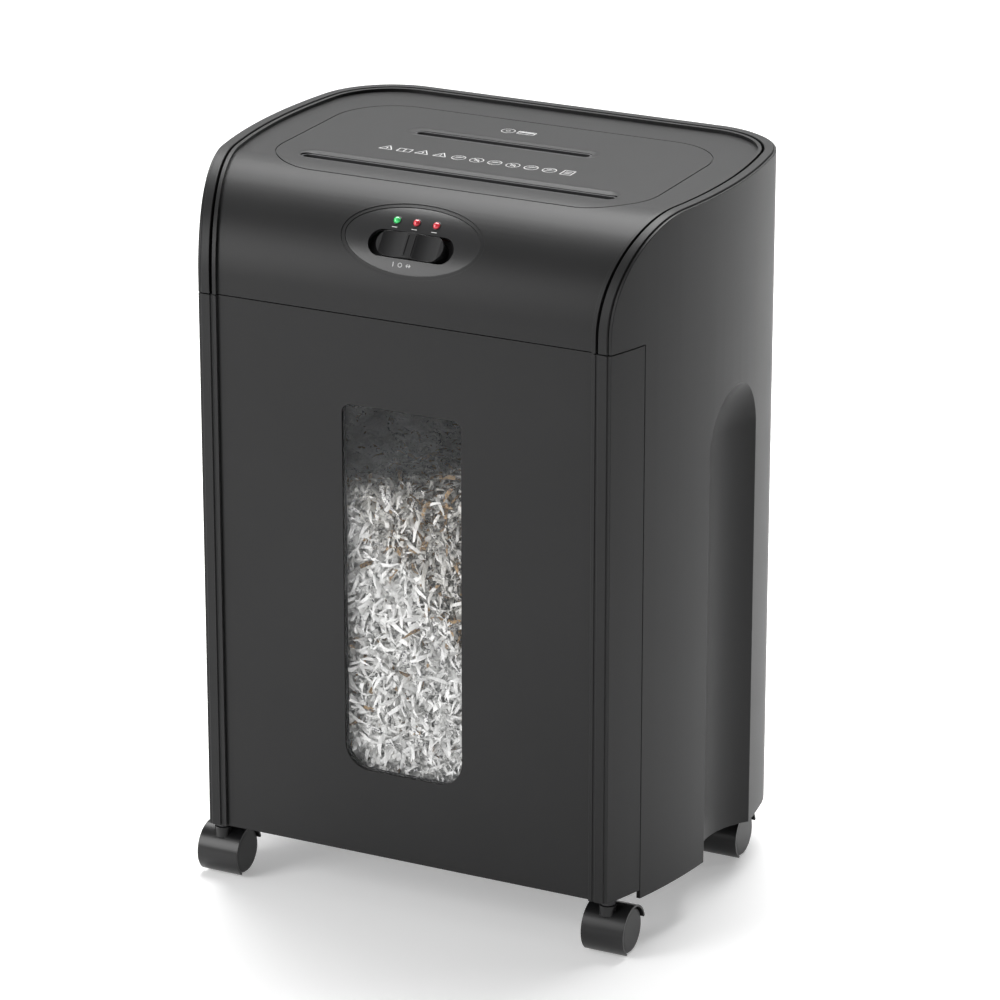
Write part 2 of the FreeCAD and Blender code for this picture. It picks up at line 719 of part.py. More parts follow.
def cutter_plate(side):
    """Steel side plate that carries the cutters' bushes; the right one the drive too."""
    x0 = BLOCK_X + PLATE_HALF if side > 0 else BLOCK_X - PLATE_HALF - PLATE_T
    rear = DRIVE_PLATE_REAR_Y if side > 0 else PLATE_REAR_Y
    plate = box(x0, x0 + PLATE_T, PLATE_FRONT_Y, rear, PLATE_LOW_Z, PLATE_HIGH_Z)
    for which in (-1, 1):
        plate = plate.cut(rod_x(JOURNAL_R + BUSH_WALL, x0 - 1, x0 + PLATE_T + 1, shaft_y(which), CUT_Z))
    for y, z in tie_rod_places():
        plate = plate.cut(rod_x(TIE_ROD_R - 1, x0 - 1, x0 + PLATE_T + 1, y, z))
    if side > 0:
        plate = plate.cut(rod_x(MOTOR_SHAFT_R + 2, x0 - 1, x0 + PLATE_T + 1, MOTOR_Y, MOTOR_Z))
        for y, z in gear_post_places():
            plate = plate.cut(rod_x(POST_R, x0 - 1, x0 + PLATE_T + 1, y, z))
    return plate


def cutter_bushes():
    bushes = []
    for x0 in (BLOCK_X - PLATE_HALF - PLATE_T, BLOCK_X + PLATE_HALF):
        for which in (-1, 1):
            y = shaft_y(which)
            ring = rod_x(JOURNAL_R + BUSH_WALL, x0, x0 + PLATE_T, y, CUT_Z)
            bushes.append(ring.cut(rod_x(JOURNAL_R + JOURNAL_CLEAR, x0 - 1, x0 + PLATE_T + 1, y, CUT_Z)))
    return Part.makeCompound(bushes)


def tie_rods():
    rods = []
    for y, z in tie_rod_places():
        middle = rod_x(TIE_ROD_R, BLOCK_X - PLATE_HALF, BLOCK_X + PLATE_HALF, y, z)
        stud = rod_x(TIE_ROD_R - 1, BLOCK_X - PLATE_HALF - PLATE_T - 2, BLOCK_X + PLATE_HALF + PLATE_T, y, z)
        rods.append(middle.fuse(stud))
    return Part.makeCompound(rods)


# ---- gears ----------------------------------------------------------------------

def involute(angle):
    return math.tan(angle) - angle


def gear(teeth, module, x0, width, y, z, tooth_deg, bore):
    """Spur gear about X with one tooth's middle at tooth_deg in the YZ plane."""
    pitch_r = teeth * module / 2
    base_r = pitch_r * math.cos(math.radians(20))
    tip_r = pitch_r + 0.86 * module
    root_r = pitch_r - 1.15 * module
    half_tooth = math.pi / (2 * teeth) - BACKLASH / (2 * pitch_r)
    low_r = max(base_r, root_r)
    flank_r = [low_r, (low_r + tip_r) / 2, tip_r]

    def flank_angle(radius):
        slope = math.acos(min(1.0, base_r / radius))
        return half_tooth + involute(math.radians(20)) - involute(slope)

    def at(radius, angle):
        return V(x0, y + radius * math.cos(angle), z + radius * math.sin(angle))

    edges = []
    step = 2 * math.pi / teeth
    for i in range(teeth):
        middle = math.radians(tooth_deg) + i * step
        rise = [at(r, middle - flank_angle(r)) for r in flank_r]
        fall = [at(r, middle + flank_angle(r)) for r in reversed(flank_r)]
        foot = flank_angle(low_r)
        if root_r < low_r:
            edges.append(Part.makeLine(at(root_r, middle - foot), rise[0]))
        edges.append(Part.Arc(*rise).toShape())
        edges.append(Part.Arc(rise[2], at(tip_r, middle), fall[0]).toShape())
        edges.append(Part.Arc(*fall).toShape())
        if root_r < low_r:
            edges.append(Part.makeLine(fall[2], at(root_r, middle + foot)))
        valley = middle + step / 2
        edges.append(Part.Arc(at(root_r, middle + foot), at(root_r, valley),
                              at(root_r, middle + step - foot)).toShape())
    body = prism(Part.Wire(edges), V(width, 0, 0))
    return body.cut(rod_x(bore, x0 - 1, x0 + width + 1, y, z))


def gear_plane(level):
    """Left face of each layer of gears, outside the right plate."""
    return BLOCK_X + PLATE_HALF + PLATE_T + 1.0 + level * (GEAR_WIDTH + GEAR_SPACE)


def final_centres():
    return FINAL_MODULE * (FINAL_TEETH + FINAL_PINION_TEETH) / 2


def middle_centres():
    return MIDDLE_MODULE * (MIDDLE_TEETH + MIDDLE_PINION_TEETH) / 2


def first_centres():
    return FIRST_MODULE * (FIRST_TEETH + MOTOR_PINION_TEETH) / 2


FIRST_POST_DEG = 138.0      # direction from the motor shaft to the first gear's post


def first_post():
    a = math.radians(FIRST_POST_DEG)
    return MOTOR_Y + first_centres() * math.cos(a), MOTOR_Z + first_centres() * math.sin(a)


def middle_post():
    """Where the middle gear meshes with both the first gear and the final gear."""
    y0, z0 = shaft_y(1), CUT_Z
    y1, z1 = first_post()
    a, b = final_centres(), middle_centres()
    d = math.hypot(y1 - y0, z1 - z0)
    along = (a * a - b * b + d * d) / (2 * d)
    off = math.sqrt(a * a - along * along)
    uy, uz = (y1 - y0) / d, (z1 - z0) / d
    return y0 + along * uy + off * uz, z0 + along * uz - off * uy


def gear_post_places():
    return [first_post(), middle_post()]


def direction_deg(a, b):
    return math.degrees(math.atan2(b[1] - a[1], b[0] - a[0]))


def meshing_tooth_deg(towards_deg, teeth):
    """Turns a gear so that a gap, not a tooth, faces its driver."""
    return towards_deg + 180.0 / teeth


def sync_gears():
    module = CUTTER_CENTRES / SYNC_TEETH
    x = gear_plane(0)
    front = gear(SYNC_TEETH, module, x, GEAR_WIDTH, shaft_y(-1), CUT_Z, 0, JOURNAL_R)
    rear = gear(SYNC_TEETH, module, x, GEAR_WIDTH, shaft_y(1), CUT_Z,
                meshing_tooth_deg(180, SYNC_TEETH), JOURNAL_R)
    return front, rear


def final_gear():
    towards = direction_deg((shaft_y(1), CUT_Z), middle_post())
    return gear(FINAL_TEETH, FINAL_MODULE, gear_plane(1), GEAR_WIDTH, shaft_y(1), CUT_Z,
                towards, JOURNAL_R)


def middle_gear():
    """Compound gear: small pinion on the final gear, large wheel on the first pinion."""
    y, z = middle_post()
    to_final = direction_deg((y, z), (shaft_y(1), CUT_Z))
    to_first = direction_deg((y, z), first_post())
    bore = POST_R + POST_CLEAR
    pinion = gear(FINAL_PINION_TEETH, FINAL_MODULE, gear_plane(1), GEAR_WIDTH + GEAR_SPACE, y, z,
                  meshing_tooth_deg(to_final, FINAL_PINION_TEETH), bore)
    wheel = gear(MIDDLE_TEETH, MIDDLE_MODULE, gear_plane(2), GEAR_WIDTH, y, z, to_first, bore)
    return pinion.fuse(wheel)


def first_gear():
    """Compound gear: large wheel on the motor pinion, small pinion on the middle wheel."""
    y, z = first_post()
    to_motor = direction_deg((y, z), (MOTOR_Y, MOTOR_Z))
    to_middle = direction_deg((y, z), middle_post())
    bore = POST_R + POST_CLEAR
    wheel = gear(FIRST_TEETH, FIRST_MODULE, gear_plane(0), GEAR_WIDTH, y, z, to_motor, bore)
    hub = rod_x(POST_R + 1.6, gear_plane(0) + GEAR_WIDTH, gear_plane(2), y, z)
    hub = hub.cut(rod_x(bore, gear_plane(0), gear_plane(2) + 1, y, z))
    pinion = gear(MIDDLE_PINION_TEETH, MIDDLE_MODULE, gear_plane(2), GEAR_WIDTH, y, z,
                  meshing_tooth_deg(to_middle, MIDDLE_PINION_TEETH), bore)
    return wheel.fuse(hub).fuse(pinion)


def motor_pinion():
    towards = direction_deg((MOTOR_Y, MOTOR_Z), first_post())
    return gear(MOTOR_PINION_TEETH, FIRST_MODULE, gear_plane(0), GEAR_WIDTH, MOTOR_Y, MOTOR_Z,
                meshing_tooth_deg(towards, MOTOR_PINION_TEETH), MOTOR_SHAFT_R)


def gear_posts():
    x0 = BLOCK_X + PLATE_HALF
    x1 = gear_plane(3) + 1
    return Part.makeCompound([rod_x(POST_R, x0, x1, y, z) for y, z in gear_post_places()])


def gearbox_low():
    """Underside of the cover, below the middle gear and the final gear."""
    middle = middle_post()[1] - (MIDDLE_TEETH / 2 + 1) * MIDDLE_MODULE
    final = CUT_Z - (FINAL_TEETH / 2 + 1) * FINAL_MODULE
    return min(middle, final) - 1.0 - 2.0


def gearbox_cover():
    """Plastic cover over the gears, screwed to the right plate."""
    x0 = BLOCK_X + PLATE_HALF + PLATE_T
    x1 = gear_plane(3) + 1
    front = shaft_y(-1) - CUTTER_CENTRES / 2 - 5
    rear = DRIVE_PLATE_REAR_Y - 3
    outer = box(x0, x1 + 2, front, rear, gearbox_low(), GEARBOX_HIGH_Z)
    inner = box(x0 - 1, x1, front + 2, rear - 2, gearbox_low() + 2, GEARBOX_HIGH_Z - 2)
    cover = outer.cut(inner)
    for y, z in gear_post_places():
        cover = cover.cut(rod_x(POST_R, x0, x1 + 0.1, y, z))
    return cover


# ---- motor ----------------------------------------------------------------------

def motor_right_x():
    return BLOCK_X + PLATE_HALF


def motor_can():
    x1 = motor_right_x()
    x0 = x1 - MOTOR_LENGTH
    can = rod_x(MOTOR_R, x0, x1, MOTOR_Y, MOTOR_Z)
    can = can.cut(rod_x(MOTOR_R - MOTOR_WALL, x0 + MOTOR_WALL, x1 - MOTOR_WALL, MOTOR_Y, MOTOR_Z))
    return can.cut(rod_x(MOTOR_SHAFT_R + 0.05, x0 - 1, x1 + 1, MOTOR_Y, MOTOR_Z))


def motor_rotor():
    x1 = gear_plane(0) + GEAR_WIDTH
    x0 = motor_right_x() - MOTOR_LENGTH - FAN_WIDTH - 3
    shaft = rod_x(MOTOR_SHAFT_R, x0, x1, MOTOR_Y, MOTOR_Z)
    core = rod_x(ROTOR_R, x0 + FAN_WIDTH + 18, motor_right_x() - 16, MOTOR_Y, MOTOR_Z)
    return shaft.fuse(core)


def motor_fan():
    x1 = motor_right_x() - MOTOR_LENGTH - 2
    x0 = x1 - FAN_WIDTH
    fan = rod_x(8, x0, x1, MOTOR_Y, MOTOR_Z).fuse(rod_x(FAN_R, x1 - 1.2, x1, MOTOR_Y, MOTOR_Z))
    for i in range(FAN_BLADES):
        blade = box(x0, x1, MOTOR_Y + 7, MOTOR_Y + FAN_R, MOTOR_Z - 0.7, MOTOR_Z + 0.7)
        blade.rotate(V(0, MOTOR_Y, MOTOR_Z), V(1, 0, 0), i * 360.0 / FAN_BLADES)
        fan = fan.fuse(blade)
    return fan.cut(rod_x(MOTOR_SHAFT_R, x0 - 1, x1 + 1, MOTOR_Y, MOTOR_Z))


def thermal_cutout():
    """Self-resetting cut-out clipped on top of the motor can."""
    x = motor_right_x() - MOTOR_LENGTH / 2
    z = MOTOR_Z + MOTOR_R
    block = box(x - 9, x + 9, MOTOR_Y - 6, MOTOR_Y + 6, z - 1, z + 5)
    return block.cut(rod_x(MOTOR_R, x - 20, x + 20, MOTOR_Y, MOTOR_Z))


# ---- bin ------------------------------------------------------------------------

def window_wire(grow, y):
    x = WINDOW_WIDTH / 2 + grow
    low, high = WINDOW_LOW_Z - grow, WINDOW_HIGH_Z + grow
    low_r, high_r = WINDOW_LOW_R + grow, WINDOW_HIGH_R + grow
    k = 1 - 1 / math.sqrt(2)

    def corner(sx, z, sz, r):
        return [
            V(WINDOW_X + sx * x, y, z + sz * r),
            V(WINDOW_X + sx * (x - k * r), y, z + sz * k * r),
            V(WINDOW_X + sx * (x - r), y, z),
        ]

    a = corner(1, low, 1, low_r)
    b = corner(-1, low, 1, low_r)
    c = corner(-1, high, -1, high_r)
    d = corner(1, high, -1, high_r)
    return Part.Wire([
        Part.Arc(*a).toShape(),
        Part.makeLine(a[2], b[2]),
        Part.Arc(b[2], b[1], b[0]).toShape(),
        Part.makeLine(b[0], c[0]),
        Part.Arc(*c).toShape(),
        Part.makeLine(c[2], d[2]),
        Part.Arc(d[2], d[1], d[0]).toShape(),
        Part.makeLine(d[0], a[0]),
    ])


def window_prism(grow, y0, y1):
    return prism(window_wire(grow, y0), V(0, y1 - y0, 0))


def bin_front():
    """Front of the bin: face, bead, bands, and the wraps round both sides."""
    back = FACE_DROP + FACE_WALL
    skin = face_block(FACE_DROP).cut(face_block(back)).common(rim_prism(0))
    band = face_block(0).cut(face_block(FACE_DROP + 1)).common(rim_prism(0)).cut(rim_prism(BAND))
    outer = face_frame_inset()
    bead = face_block(BEAD_DROP).cut(face_block(FACE_DROP + 1))
    bead = bead.common(rim_prism(outer)).cut(rim_prism(outer + BEAD))
    wrap = casing_block(0).cut(casing_block(WALL)).common(face_block(EDGE_SET_BACK))
    wrap = wrap.cut(box(-FAR, FAR, WRAP_Y, DEPTH + 1, -1, HEIGHT + 1))
    wrap = wrap.cut(box(-TUB_HALF, TUB_HALF, -1, DEPTH, -1, HEIGHT + 1))
    front = skin.fuse(band).fuse(bead).fuse(wrap)
    front = front.common(box(-FAR, FAR, -1, WRAP_Y + 1, BIN_FRONT_Z, SEAM_Z - SEAM_GAP / 2))
    return front.cut(window_prism(0, -1, back + 1))


def bin_window():
    """Clear pane with a flange, held between the bin's front and its tub."""
    back = FACE_DROP + FACE_WALL
    pane = window_prism(-WINDOW_FIT, back - WINDOW_T, back + 0.1)
    flange = window_prism(WINDOW_FLANGE, back, back + 1.4)
    return pane.fuse(flange)


def tub_outline(grow, z):
    x = TUB_HALF + grow
    y0 = FACE_DROP + FACE_WALL + 1.4 - grow
    y1 = TUB_REAR_Y + grow
    r = TUB_CORNER_R + grow
    k = 1 - 1 / math.sqrt(2)
    return Part.Wire([
        Part.makeLine(V(-x, y0, z), V(x, y0, z)),
        Part.makeLine(V(x, y0, z), V(x, y1 - r, z)),
        Part.Arc(V(x, y1 - r, z), V(x - k * r, y1 - k * r, z), V(x - r, y1, z)).toShape(),
        Part.makeLine(V(x - r, y1, z), V(-x + r, y1, z)),
        Part.Arc(V(-x + r, y1, z), V(-x + k * r, y1 - k * r, z), V(-x, y1 - r, z)).toShape(),
        Part.makeLine(V(-x, y1 - r, z), V(-x, y0, z)),
    ])


def bin_tub():
    height = TUB_TOP_Z - TUB_FLOOR_Z
    y_front = FACE_DROP + FACE_WALL + 1.4
    tub = prism(tub_outline(0, TUB_FLOOR_Z), V(0, 0, height))
    lip = prism(tub_outline(TUB_LIP, TUB_TOP_Z - 3), V(0, 0, 3))
    lip = lip.cut(box(-FAR, FAR, -FAR, y_front, 0, HEIGHT))
    hollow = prism(tub_outline(-TUB_WALL, TUB_FLOOR_Z + TUB_WALL), V(0, 0, height))
    tub = tub.fuse(lip).cut(hollow)
    runner_low = BASE_Z + BASE_T + SLIDE_GAP
    for side in (-1, 1):
        x = side * RUNNER_X
        runner = box(x - RUNNER_WIDTH / 2, x + RUNNER_WIDTH / 2, y_front, TUB_REAR_Y - TUB_CORNER_R,
                     runner_low, TUB_FLOOR_Z + 1)
        tub = tub.fuse(runner)
    return tub.cut(window_prism(0.5, y_front - 1, y_front + TUB_WALL + 1))


def bin_magnet():
    """Magnet on the bin's rim that tells the head the bin is shut."""
    y = TUB_REAR_Y - 40
    return box(TUB_HALF - TUB_WALL - 4, TUB_HALF - TUB_WALL, y, y + 16, TUB_TOP_Z - 12, TUB_TOP_Z)


def bin_sensor():
    """Reed switch under the head's floor, over the magnet."""
    y = TUB_REAR_Y - 40
    return box(TUB_HALF - TUB_WALL - 6, TUB_HALF, y, y + 16, TUB_TOP_Z + 2.5, TRAY_Z)


# ---- base and casters -----------------------------------------------------------

def caster_places():
    return {
        "front_left": (-FRONT_CASTER_X, FRONT_STEM_Y),
        "front_right": (FRONT_CASTER_X, FRONT_STEM_Y),
        "rear_left": (-REAR_CASTER_X, REAR_STEM_Y),
        "rear_right": (REAR_CASTER_X, REAR_STEM_Y),
    }


def base_plate():
    """Floor of the casing: the bin's rails, a rim, and four caster sockets."""
    inset = WALL + CASING_GAP
    plate = prism(plan_wire(inset, BASE_Z, BASE_FRONT_Y), V(0, 0, BASE_T))
    rear = DEPTH - REAR_SET_IN - WALL - CASING_GAP
    for side in (-1, 1):
        plate = plate.cut(scoop(side, WALL + CASING_GAP))
        for edge in (-1, 1):
            x = side * RUNNER_X + edge * (RUNNER_WIDTH / 2 + 2.0)
            guide = box(x - 1.5, x + 1.5, BASE_FRONT_Y + 4, TUB_REAR_Y, BASE_Z + 1, TUB_FLOOR_Z - SLIDE_GAP)
            plate = plate.fuse(guide)
    stop = box(-60, 60, TUB_REAR_Y + 1, TUB_REAR_Y + 4, BASE_Z + 1, BASE_Z + 40)
    plate = plate.fuse(stop)
    for x, y in caster_places().values():
        plate = plate.fuse(rod_z(STEM_R + STEM_CLEAR + SOCKET_WALL, SOCKET_BOTTOM_Z, SOCKET_TOP_Z, x, y))
    for x, y in caster_places().values():
        plate = plate.cut(rod_z(STEM_R + STEM_CLEAR, SOCKET_BOTTOM_Z - 1, SOCKET_TOP_Z - 2, x, y))
    return plate.cut(box(-FAR, FAR, rear, FAR, -1, HEIGHT))


def hood_sector(radius, half, x, y, z):
    """Cylinder slice kept between the hood's two ends."""
    disc = rod_x(radius, x - half, x + half, y, z)
    reach = radius * 3
    a0 = math.radians(HOOD_FRONT_DEG)
    a1 = math.radians(360 + HOOD_REAR_DEG)
    mid = (a0 + a1) / 2
    points = [
        V(x - half - 1, y, z),
        V(x - half - 1, y + reach * math.cos(a0), z + reach * math.sin(a0)),
        V(x - half - 1, y + reach * math.cos(mid), z + reach * math.sin(mid)),
        V(x - half - 1, y + reach * math.cos(a1), z + reach * math.sin(a1)),
    ]
    wedge = prism(Part.makePolygon(points + [points[0]]), V(2 * half + 2, 0, 0))
    return disc.cut(wedge)


def caster_hood(x, y):
    """Swivel housing: curved hood over both wheels, centre web and stem."""
    axle_y = y + STEM_TRAIL
    shell = hood_sector(HOOD_R, HOOD_HALF, x, axle_y, WHEEL_R)
    shell = shell.cut(rod_x(HOOD_R - HOOD_T, x - HOOD_HALF - 1, x + HOOD_HALF + 1, axle_y, WHEEL_R))
    web = hood_sector(HOOD_R - 0.5, WHEEL_GAP - 0.4, x, axle_y, WHEEL_R)
    hub = rod_x(AXLE_R + 2.5, x - WHEEL_GAP + 0.4, x + WHEEL_GAP - 0.4, axle_y, WHEEL_R)
    boss = rod_z(STEM_R + 2.4, WHEEL_R + HOOD_R - 5.0, SOCKET_BOTTOM_Z - 0.4, x, y)
    boss = boss.cut(rod_x(HOOD_R - HOOD_T, x - HOOD_HALF, x + HOOD_HALF, axle_y, WHEEL_R))
    stem = rod_z(STEM_R, WHEEL_R + HOOD_R - 5.0, SOCKET_TOP_Z - 3, x, y)
    stem = stem.cut(rod_x(HOOD_R - HOOD_T, x - HOOD_HALF, x + HOOD_HALF, axle_y, WHEEL_R))
    hood = shell.fuse(web).fuse(hub).fuse(boss).fuse(stem)
    return hood.cut(rod_x(AXLE_R, x - FAR, x + FAR, axle_y, WHEEL_R))


def caster_axle(x, y):
    end = WHEEL_GAP + WHEEL_WIDTH - 1.5
    return rod_x(AXLE_R, x - end, x + end, y + STEM_TRAIL, WHEEL_R)


def caster_wheel(x, y, side):
    """Wheel with a domed outer face and a rounded tread."""
    profile = [
        (0, AXLE_R + AXLE_CLEAR), (0, WHEEL_R - 1.0), (1.0, WHEEL_R), (WHEEL_WIDTH - 2.0, WHEEL_R),
        (WHEEL_WIDTH - 0.6, WHEEL_R - 1.2), (WHEEL_WIDTH, WHEEL_R - 4.0), (WHEEL_WIDTH, 0),
        (WHEEL_WIDTH - 1.4, 0), (WHEEL_WIDTH - 1.4, AXLE_R + AXLE_CLEAR),
    ]
    points = [V(side * (WHEEL_GAP + px), 0, pr) for px, pr in profile]
    wire = Part.makePolygon(points + [points[0]])
    wheel = Part.Face(wire).revolve(V(0, 0, 0), V(1, 0, 0), 360)
    wheel.translate(V(x, y + STEM_TRAIL, WHEEL_R))
    return wheel


# ---- put together ---------------------------------------------------------------

def build():
    nodes = {}
    shell = casing_shell()
    nodes["left_side_panel"] = side_panel(shell, -1)
    nodes["right_side_panel"] = side_panel(shell, 1)
    nodes["rear_panel"] = rear_panel()
    nodes["rear_screws"] = rear_screws()
    nodes["cord_gland"] = cord_gland()
    nodes["base_plate"] = base_plate()
    nodes["head_tray"] = head_tray()
    nodes["head_rim"] = head_rim()
    nodes["top_cover"] = top_cover()
    nodes["control_bezel"] = control_bezel()
    nodes["mode_switch"] = mode_switch()
    nodes["switch_body"] = switch_body()
    nodes["control_board"] = control_board()
    nodes["power_lens"] = lens(-1)
    nodes["overload_lens"] = lens(0)
    nodes["overheat_lens"] = lens(1)
    nodes["paper_chute"] = paper_chute()
    nodes["card_chute"] = card_chute()
    nodes["paper_sensor"] = paper_sensor()
    left = BLOCK_X - PLATE_HALF - PLATE_T - 1.5
    nodes["front_cutter"] = cutter_shaft(-1, left, gear_plane(0) + GEAR_WIDTH)
    nodes["rear_cutter"] = cutter_shaft(1, left, gear_plane(1) + GEAR_WIDTH)
    front_sync, rear_sync = sync_gears()
    nodes["front_cutter_gear"] = front_sync
    nodes["rear_cutter_gear"] = rear_sync
    nodes["final_gear"] = final_gear()
    nodes["middle_gear"] = middle_gear()
    nodes["first_gear"] = first_gear()
    nodes["motor_pinion"] = motor_pinion()
    nodes["gear_posts"] = gear_posts()
    nodes["gearbox_cover"] = gearbox_cover()
    nodes["left_cutter_plate"] = cutter_plate(-1)
    nodes["right_cutter_plate"] = cutter_plate(1)
    nodes["cutter_bushes"] = cutter_bushes()
    nodes["tie_rods"] = tie_rods()
    nodes["front_comb"] = comb(-1)
    nodes["rear_comb"] = comb(1)
    nodes["motor_can"] = motor_can()
    nodes["motor_rotor"] = motor_rotor()
    nodes["motor_fan"] = motor_fan()
    nodes["thermal_cutout"] = thermal_cutout()
    nodes["bin_front"] = bin_front()
    nodes["bin_window"] = bin_window()
    nodes["bin_tub"] = bin_tub()
    nodes["bin_magnet"] = bin_magnet()
    nodes["bin_sensor"] = bin_sensor()
    for name, (x, y) in caster_places().items():
        nodes[name + "_hood"] = caster_hood(x, y)
        nodes[name + "_axle"] = caster_axle(x, y)
        nodes[name + "_inner_wheel"] = caster_wheel(x, y, -1 if x > 0 else 1)
        nodes[name + "_outer_wheel"] = caster_wheel(x, y, 1 if x > 0 else -1)
    return nodes


os.makedirs("parts", exist_ok=True)
for node, shape in build().items():
    shape.translate(V(0, -DEPTH / 2, 0))
    print(node, "solids", len(shape.Solids), "valid", shape.isValid(), "volume", round(shape.Volume, 1))
    shape.exportStep("parts/" + node + ".step")
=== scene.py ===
# %% [markdown]
# # A paper shredder: looks for a finished CAD part
#
# The CAD part already says where everything is and how it moves. This script gives
# it its looks: black textured plastic, a clear window with shredded paper behind it,
# small lamps, printed pictograms and steel cutters. Everything is in metres, with
# the floor at z = 0 and the front facing -Y.

# %% Load the frame
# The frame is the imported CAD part. Each CAD node keeps its place in its vertices,
# so a visual piece that stands for one is made at the origin, unturned.
import json
import math
import random

import bmesh
import bpy
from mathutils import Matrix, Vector

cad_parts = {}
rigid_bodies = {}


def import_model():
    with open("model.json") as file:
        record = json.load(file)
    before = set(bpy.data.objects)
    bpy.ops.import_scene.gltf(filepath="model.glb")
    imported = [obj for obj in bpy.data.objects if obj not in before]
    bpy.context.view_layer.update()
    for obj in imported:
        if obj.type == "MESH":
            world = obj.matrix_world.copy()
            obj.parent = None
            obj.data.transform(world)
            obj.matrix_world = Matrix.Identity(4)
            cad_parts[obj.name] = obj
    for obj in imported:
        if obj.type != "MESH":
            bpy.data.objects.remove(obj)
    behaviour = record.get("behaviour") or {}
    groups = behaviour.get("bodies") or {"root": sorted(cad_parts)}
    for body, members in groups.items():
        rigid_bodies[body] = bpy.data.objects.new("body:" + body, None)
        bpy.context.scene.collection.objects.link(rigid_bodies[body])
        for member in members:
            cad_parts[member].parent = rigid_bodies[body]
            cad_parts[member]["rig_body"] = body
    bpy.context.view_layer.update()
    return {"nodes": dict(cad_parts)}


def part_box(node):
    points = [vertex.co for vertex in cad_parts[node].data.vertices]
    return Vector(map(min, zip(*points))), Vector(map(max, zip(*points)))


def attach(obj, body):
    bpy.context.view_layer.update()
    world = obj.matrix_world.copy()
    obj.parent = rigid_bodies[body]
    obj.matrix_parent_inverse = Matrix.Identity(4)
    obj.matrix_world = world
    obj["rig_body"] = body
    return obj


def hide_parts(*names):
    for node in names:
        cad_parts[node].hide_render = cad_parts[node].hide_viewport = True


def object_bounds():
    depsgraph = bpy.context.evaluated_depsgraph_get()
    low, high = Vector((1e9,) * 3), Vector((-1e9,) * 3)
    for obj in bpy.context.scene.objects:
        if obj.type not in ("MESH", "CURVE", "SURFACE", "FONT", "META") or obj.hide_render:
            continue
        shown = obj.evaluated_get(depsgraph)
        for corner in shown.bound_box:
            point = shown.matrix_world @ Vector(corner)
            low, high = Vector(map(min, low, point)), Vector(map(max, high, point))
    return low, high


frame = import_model()
nodes = frame["nodes"]

# %% [markdown]
# ## Shader maths without the clutter
#
# A shader is a small sum written with nodes. `Val` wraps one output socket and
# gives it the usual operators, and `Shader.node` adds a node: settings first,
# then the values or links of its inputs.

# %% A shader written as arithmetic


class Val:
    """One output socket that can be added, multiplied and compared."""

    def __init__(self, shader, socket):
        self.shader = shader
        self.socket = socket

    def _math(self, operation, first, second):
        return self.shader.node("ShaderNodeMath", {"operation": operation}, {0: first, 1: second})

    def __add__(self, other):
        return self._math("ADD", self, other)

    def __sub__(self, other):
        return self._math("SUBTRACT", self, other)

    def __mul__(self, other):
        return self._math("MULTIPLY", self, other)

    def __rsub__(self, other):
        return self._math("SUBTRACT", other, self)

    __radd__ = __add__
    __rmul__ = __mul__

    def above(self, other):
        return self._math("GREATER_THAN", self, other)

    def clamp(self):
        return self.shader.node("ShaderNodeClamp", {}, {0: self})

    def ramp(self, low, high, to_low=0.0, to_high=1.0):
        """Maps low..high to to_low..to_high, held at the ends."""
        values = {0: self, 1: low, 2: high, 3: to_low, 4: to_high}
        return self.shader.node("ShaderNodeMapRange", {"clamp": True}, values)


class Shader:
    """A material whose node tree starts with one Principled surface."""

    def __init__(self, name):
        self.material = bpy.data.materials.new(name)
        self.material.use_nodes = True
        self.tree = self.material.node_tree
        self.tree.nodes.clear()
        self.surface = self.tree.nodes.new("ShaderNodeBsdfPrincipled")
        output = self.tree.nodes.new("ShaderNodeOutputMaterial")
        self.tree.links.new(self.surface.outputs["BSDF"], output.inputs["Surface"])

    def node(self, kind, settings, values, out=0):
        made = self.tree.nodes.new(kind)
        for key, value in settings.items():
            setattr(made, key, value)
        for key, value in values.items():
            if isinstance(value, Val):
                self.tree.links.new(value.socket, made.inputs[key])
            else:
                made.inputs[key].default_value = value
        return Val(self, made.outputs[out])

    def place(self):
        """The point being shaded, in the object's own coordinates, in metres."""
        return self.node("ShaderNodeTexCoord", {}, {}, out=3)

    def noise(self, scale, detail=3.0, roughness=0.5, where=None):
        values = {"Vector": where or self.place(), "Scale": scale, "Detail": detail,
                  "Roughness": roughness}
        return self.node("ShaderNodeTexNoise", {}, values)

    def edge_wear(self, radius):
        """0 on flat ground, up to 1 on an outer edge, from a bevelled normal."""
        bevel = self.node("ShaderNodeBevel", {"samples": 4}, {"Radius": radius})
        normal = self.node("ShaderNodeNewGeometry", {}, {}, out="Normal")
        turn = self.node("ShaderNodeVectorMath", {"operation": "DOT_PRODUCT"},
                         {0: bevel, 1: normal}, out="Value")
        return (1.0 - turn).ramp(0.02, 0.3)

    def mix(self, factor, first, second):
        values = {0: factor, 6: first, 7: second}
        return self.node("ShaderNodeMix", {"data_type": "RGBA"}, values, out=2)

    def bump(self, height, distance, strength=1.0):
        values = {"Height": height, "Distance": distance, "Strength": strength}
        return self.node("ShaderNodeBump", {}, values)

    def set(self, **inputs):
        """Links or sets the Principled inputs: Base_Color=... for "Base Color"."""
        for key, value in inputs.items():
            socket = self.surface.inputs[key.replace("_", " ")]
            if isinstance(value, Val):
                self.tree.links.new(value.socket, socket)
            else:
                socket.default_value = value
        return self.material


# %% [markdown]
# ## Materials
#
# Moulded black plastic is never one flat black: the mould's fine grain breaks up the
# highlight, the roughness wanders a little, and corners that hands touch turn paler
# and smoother. The same recipe serves every plastic with other numbers.

# %% Plastics


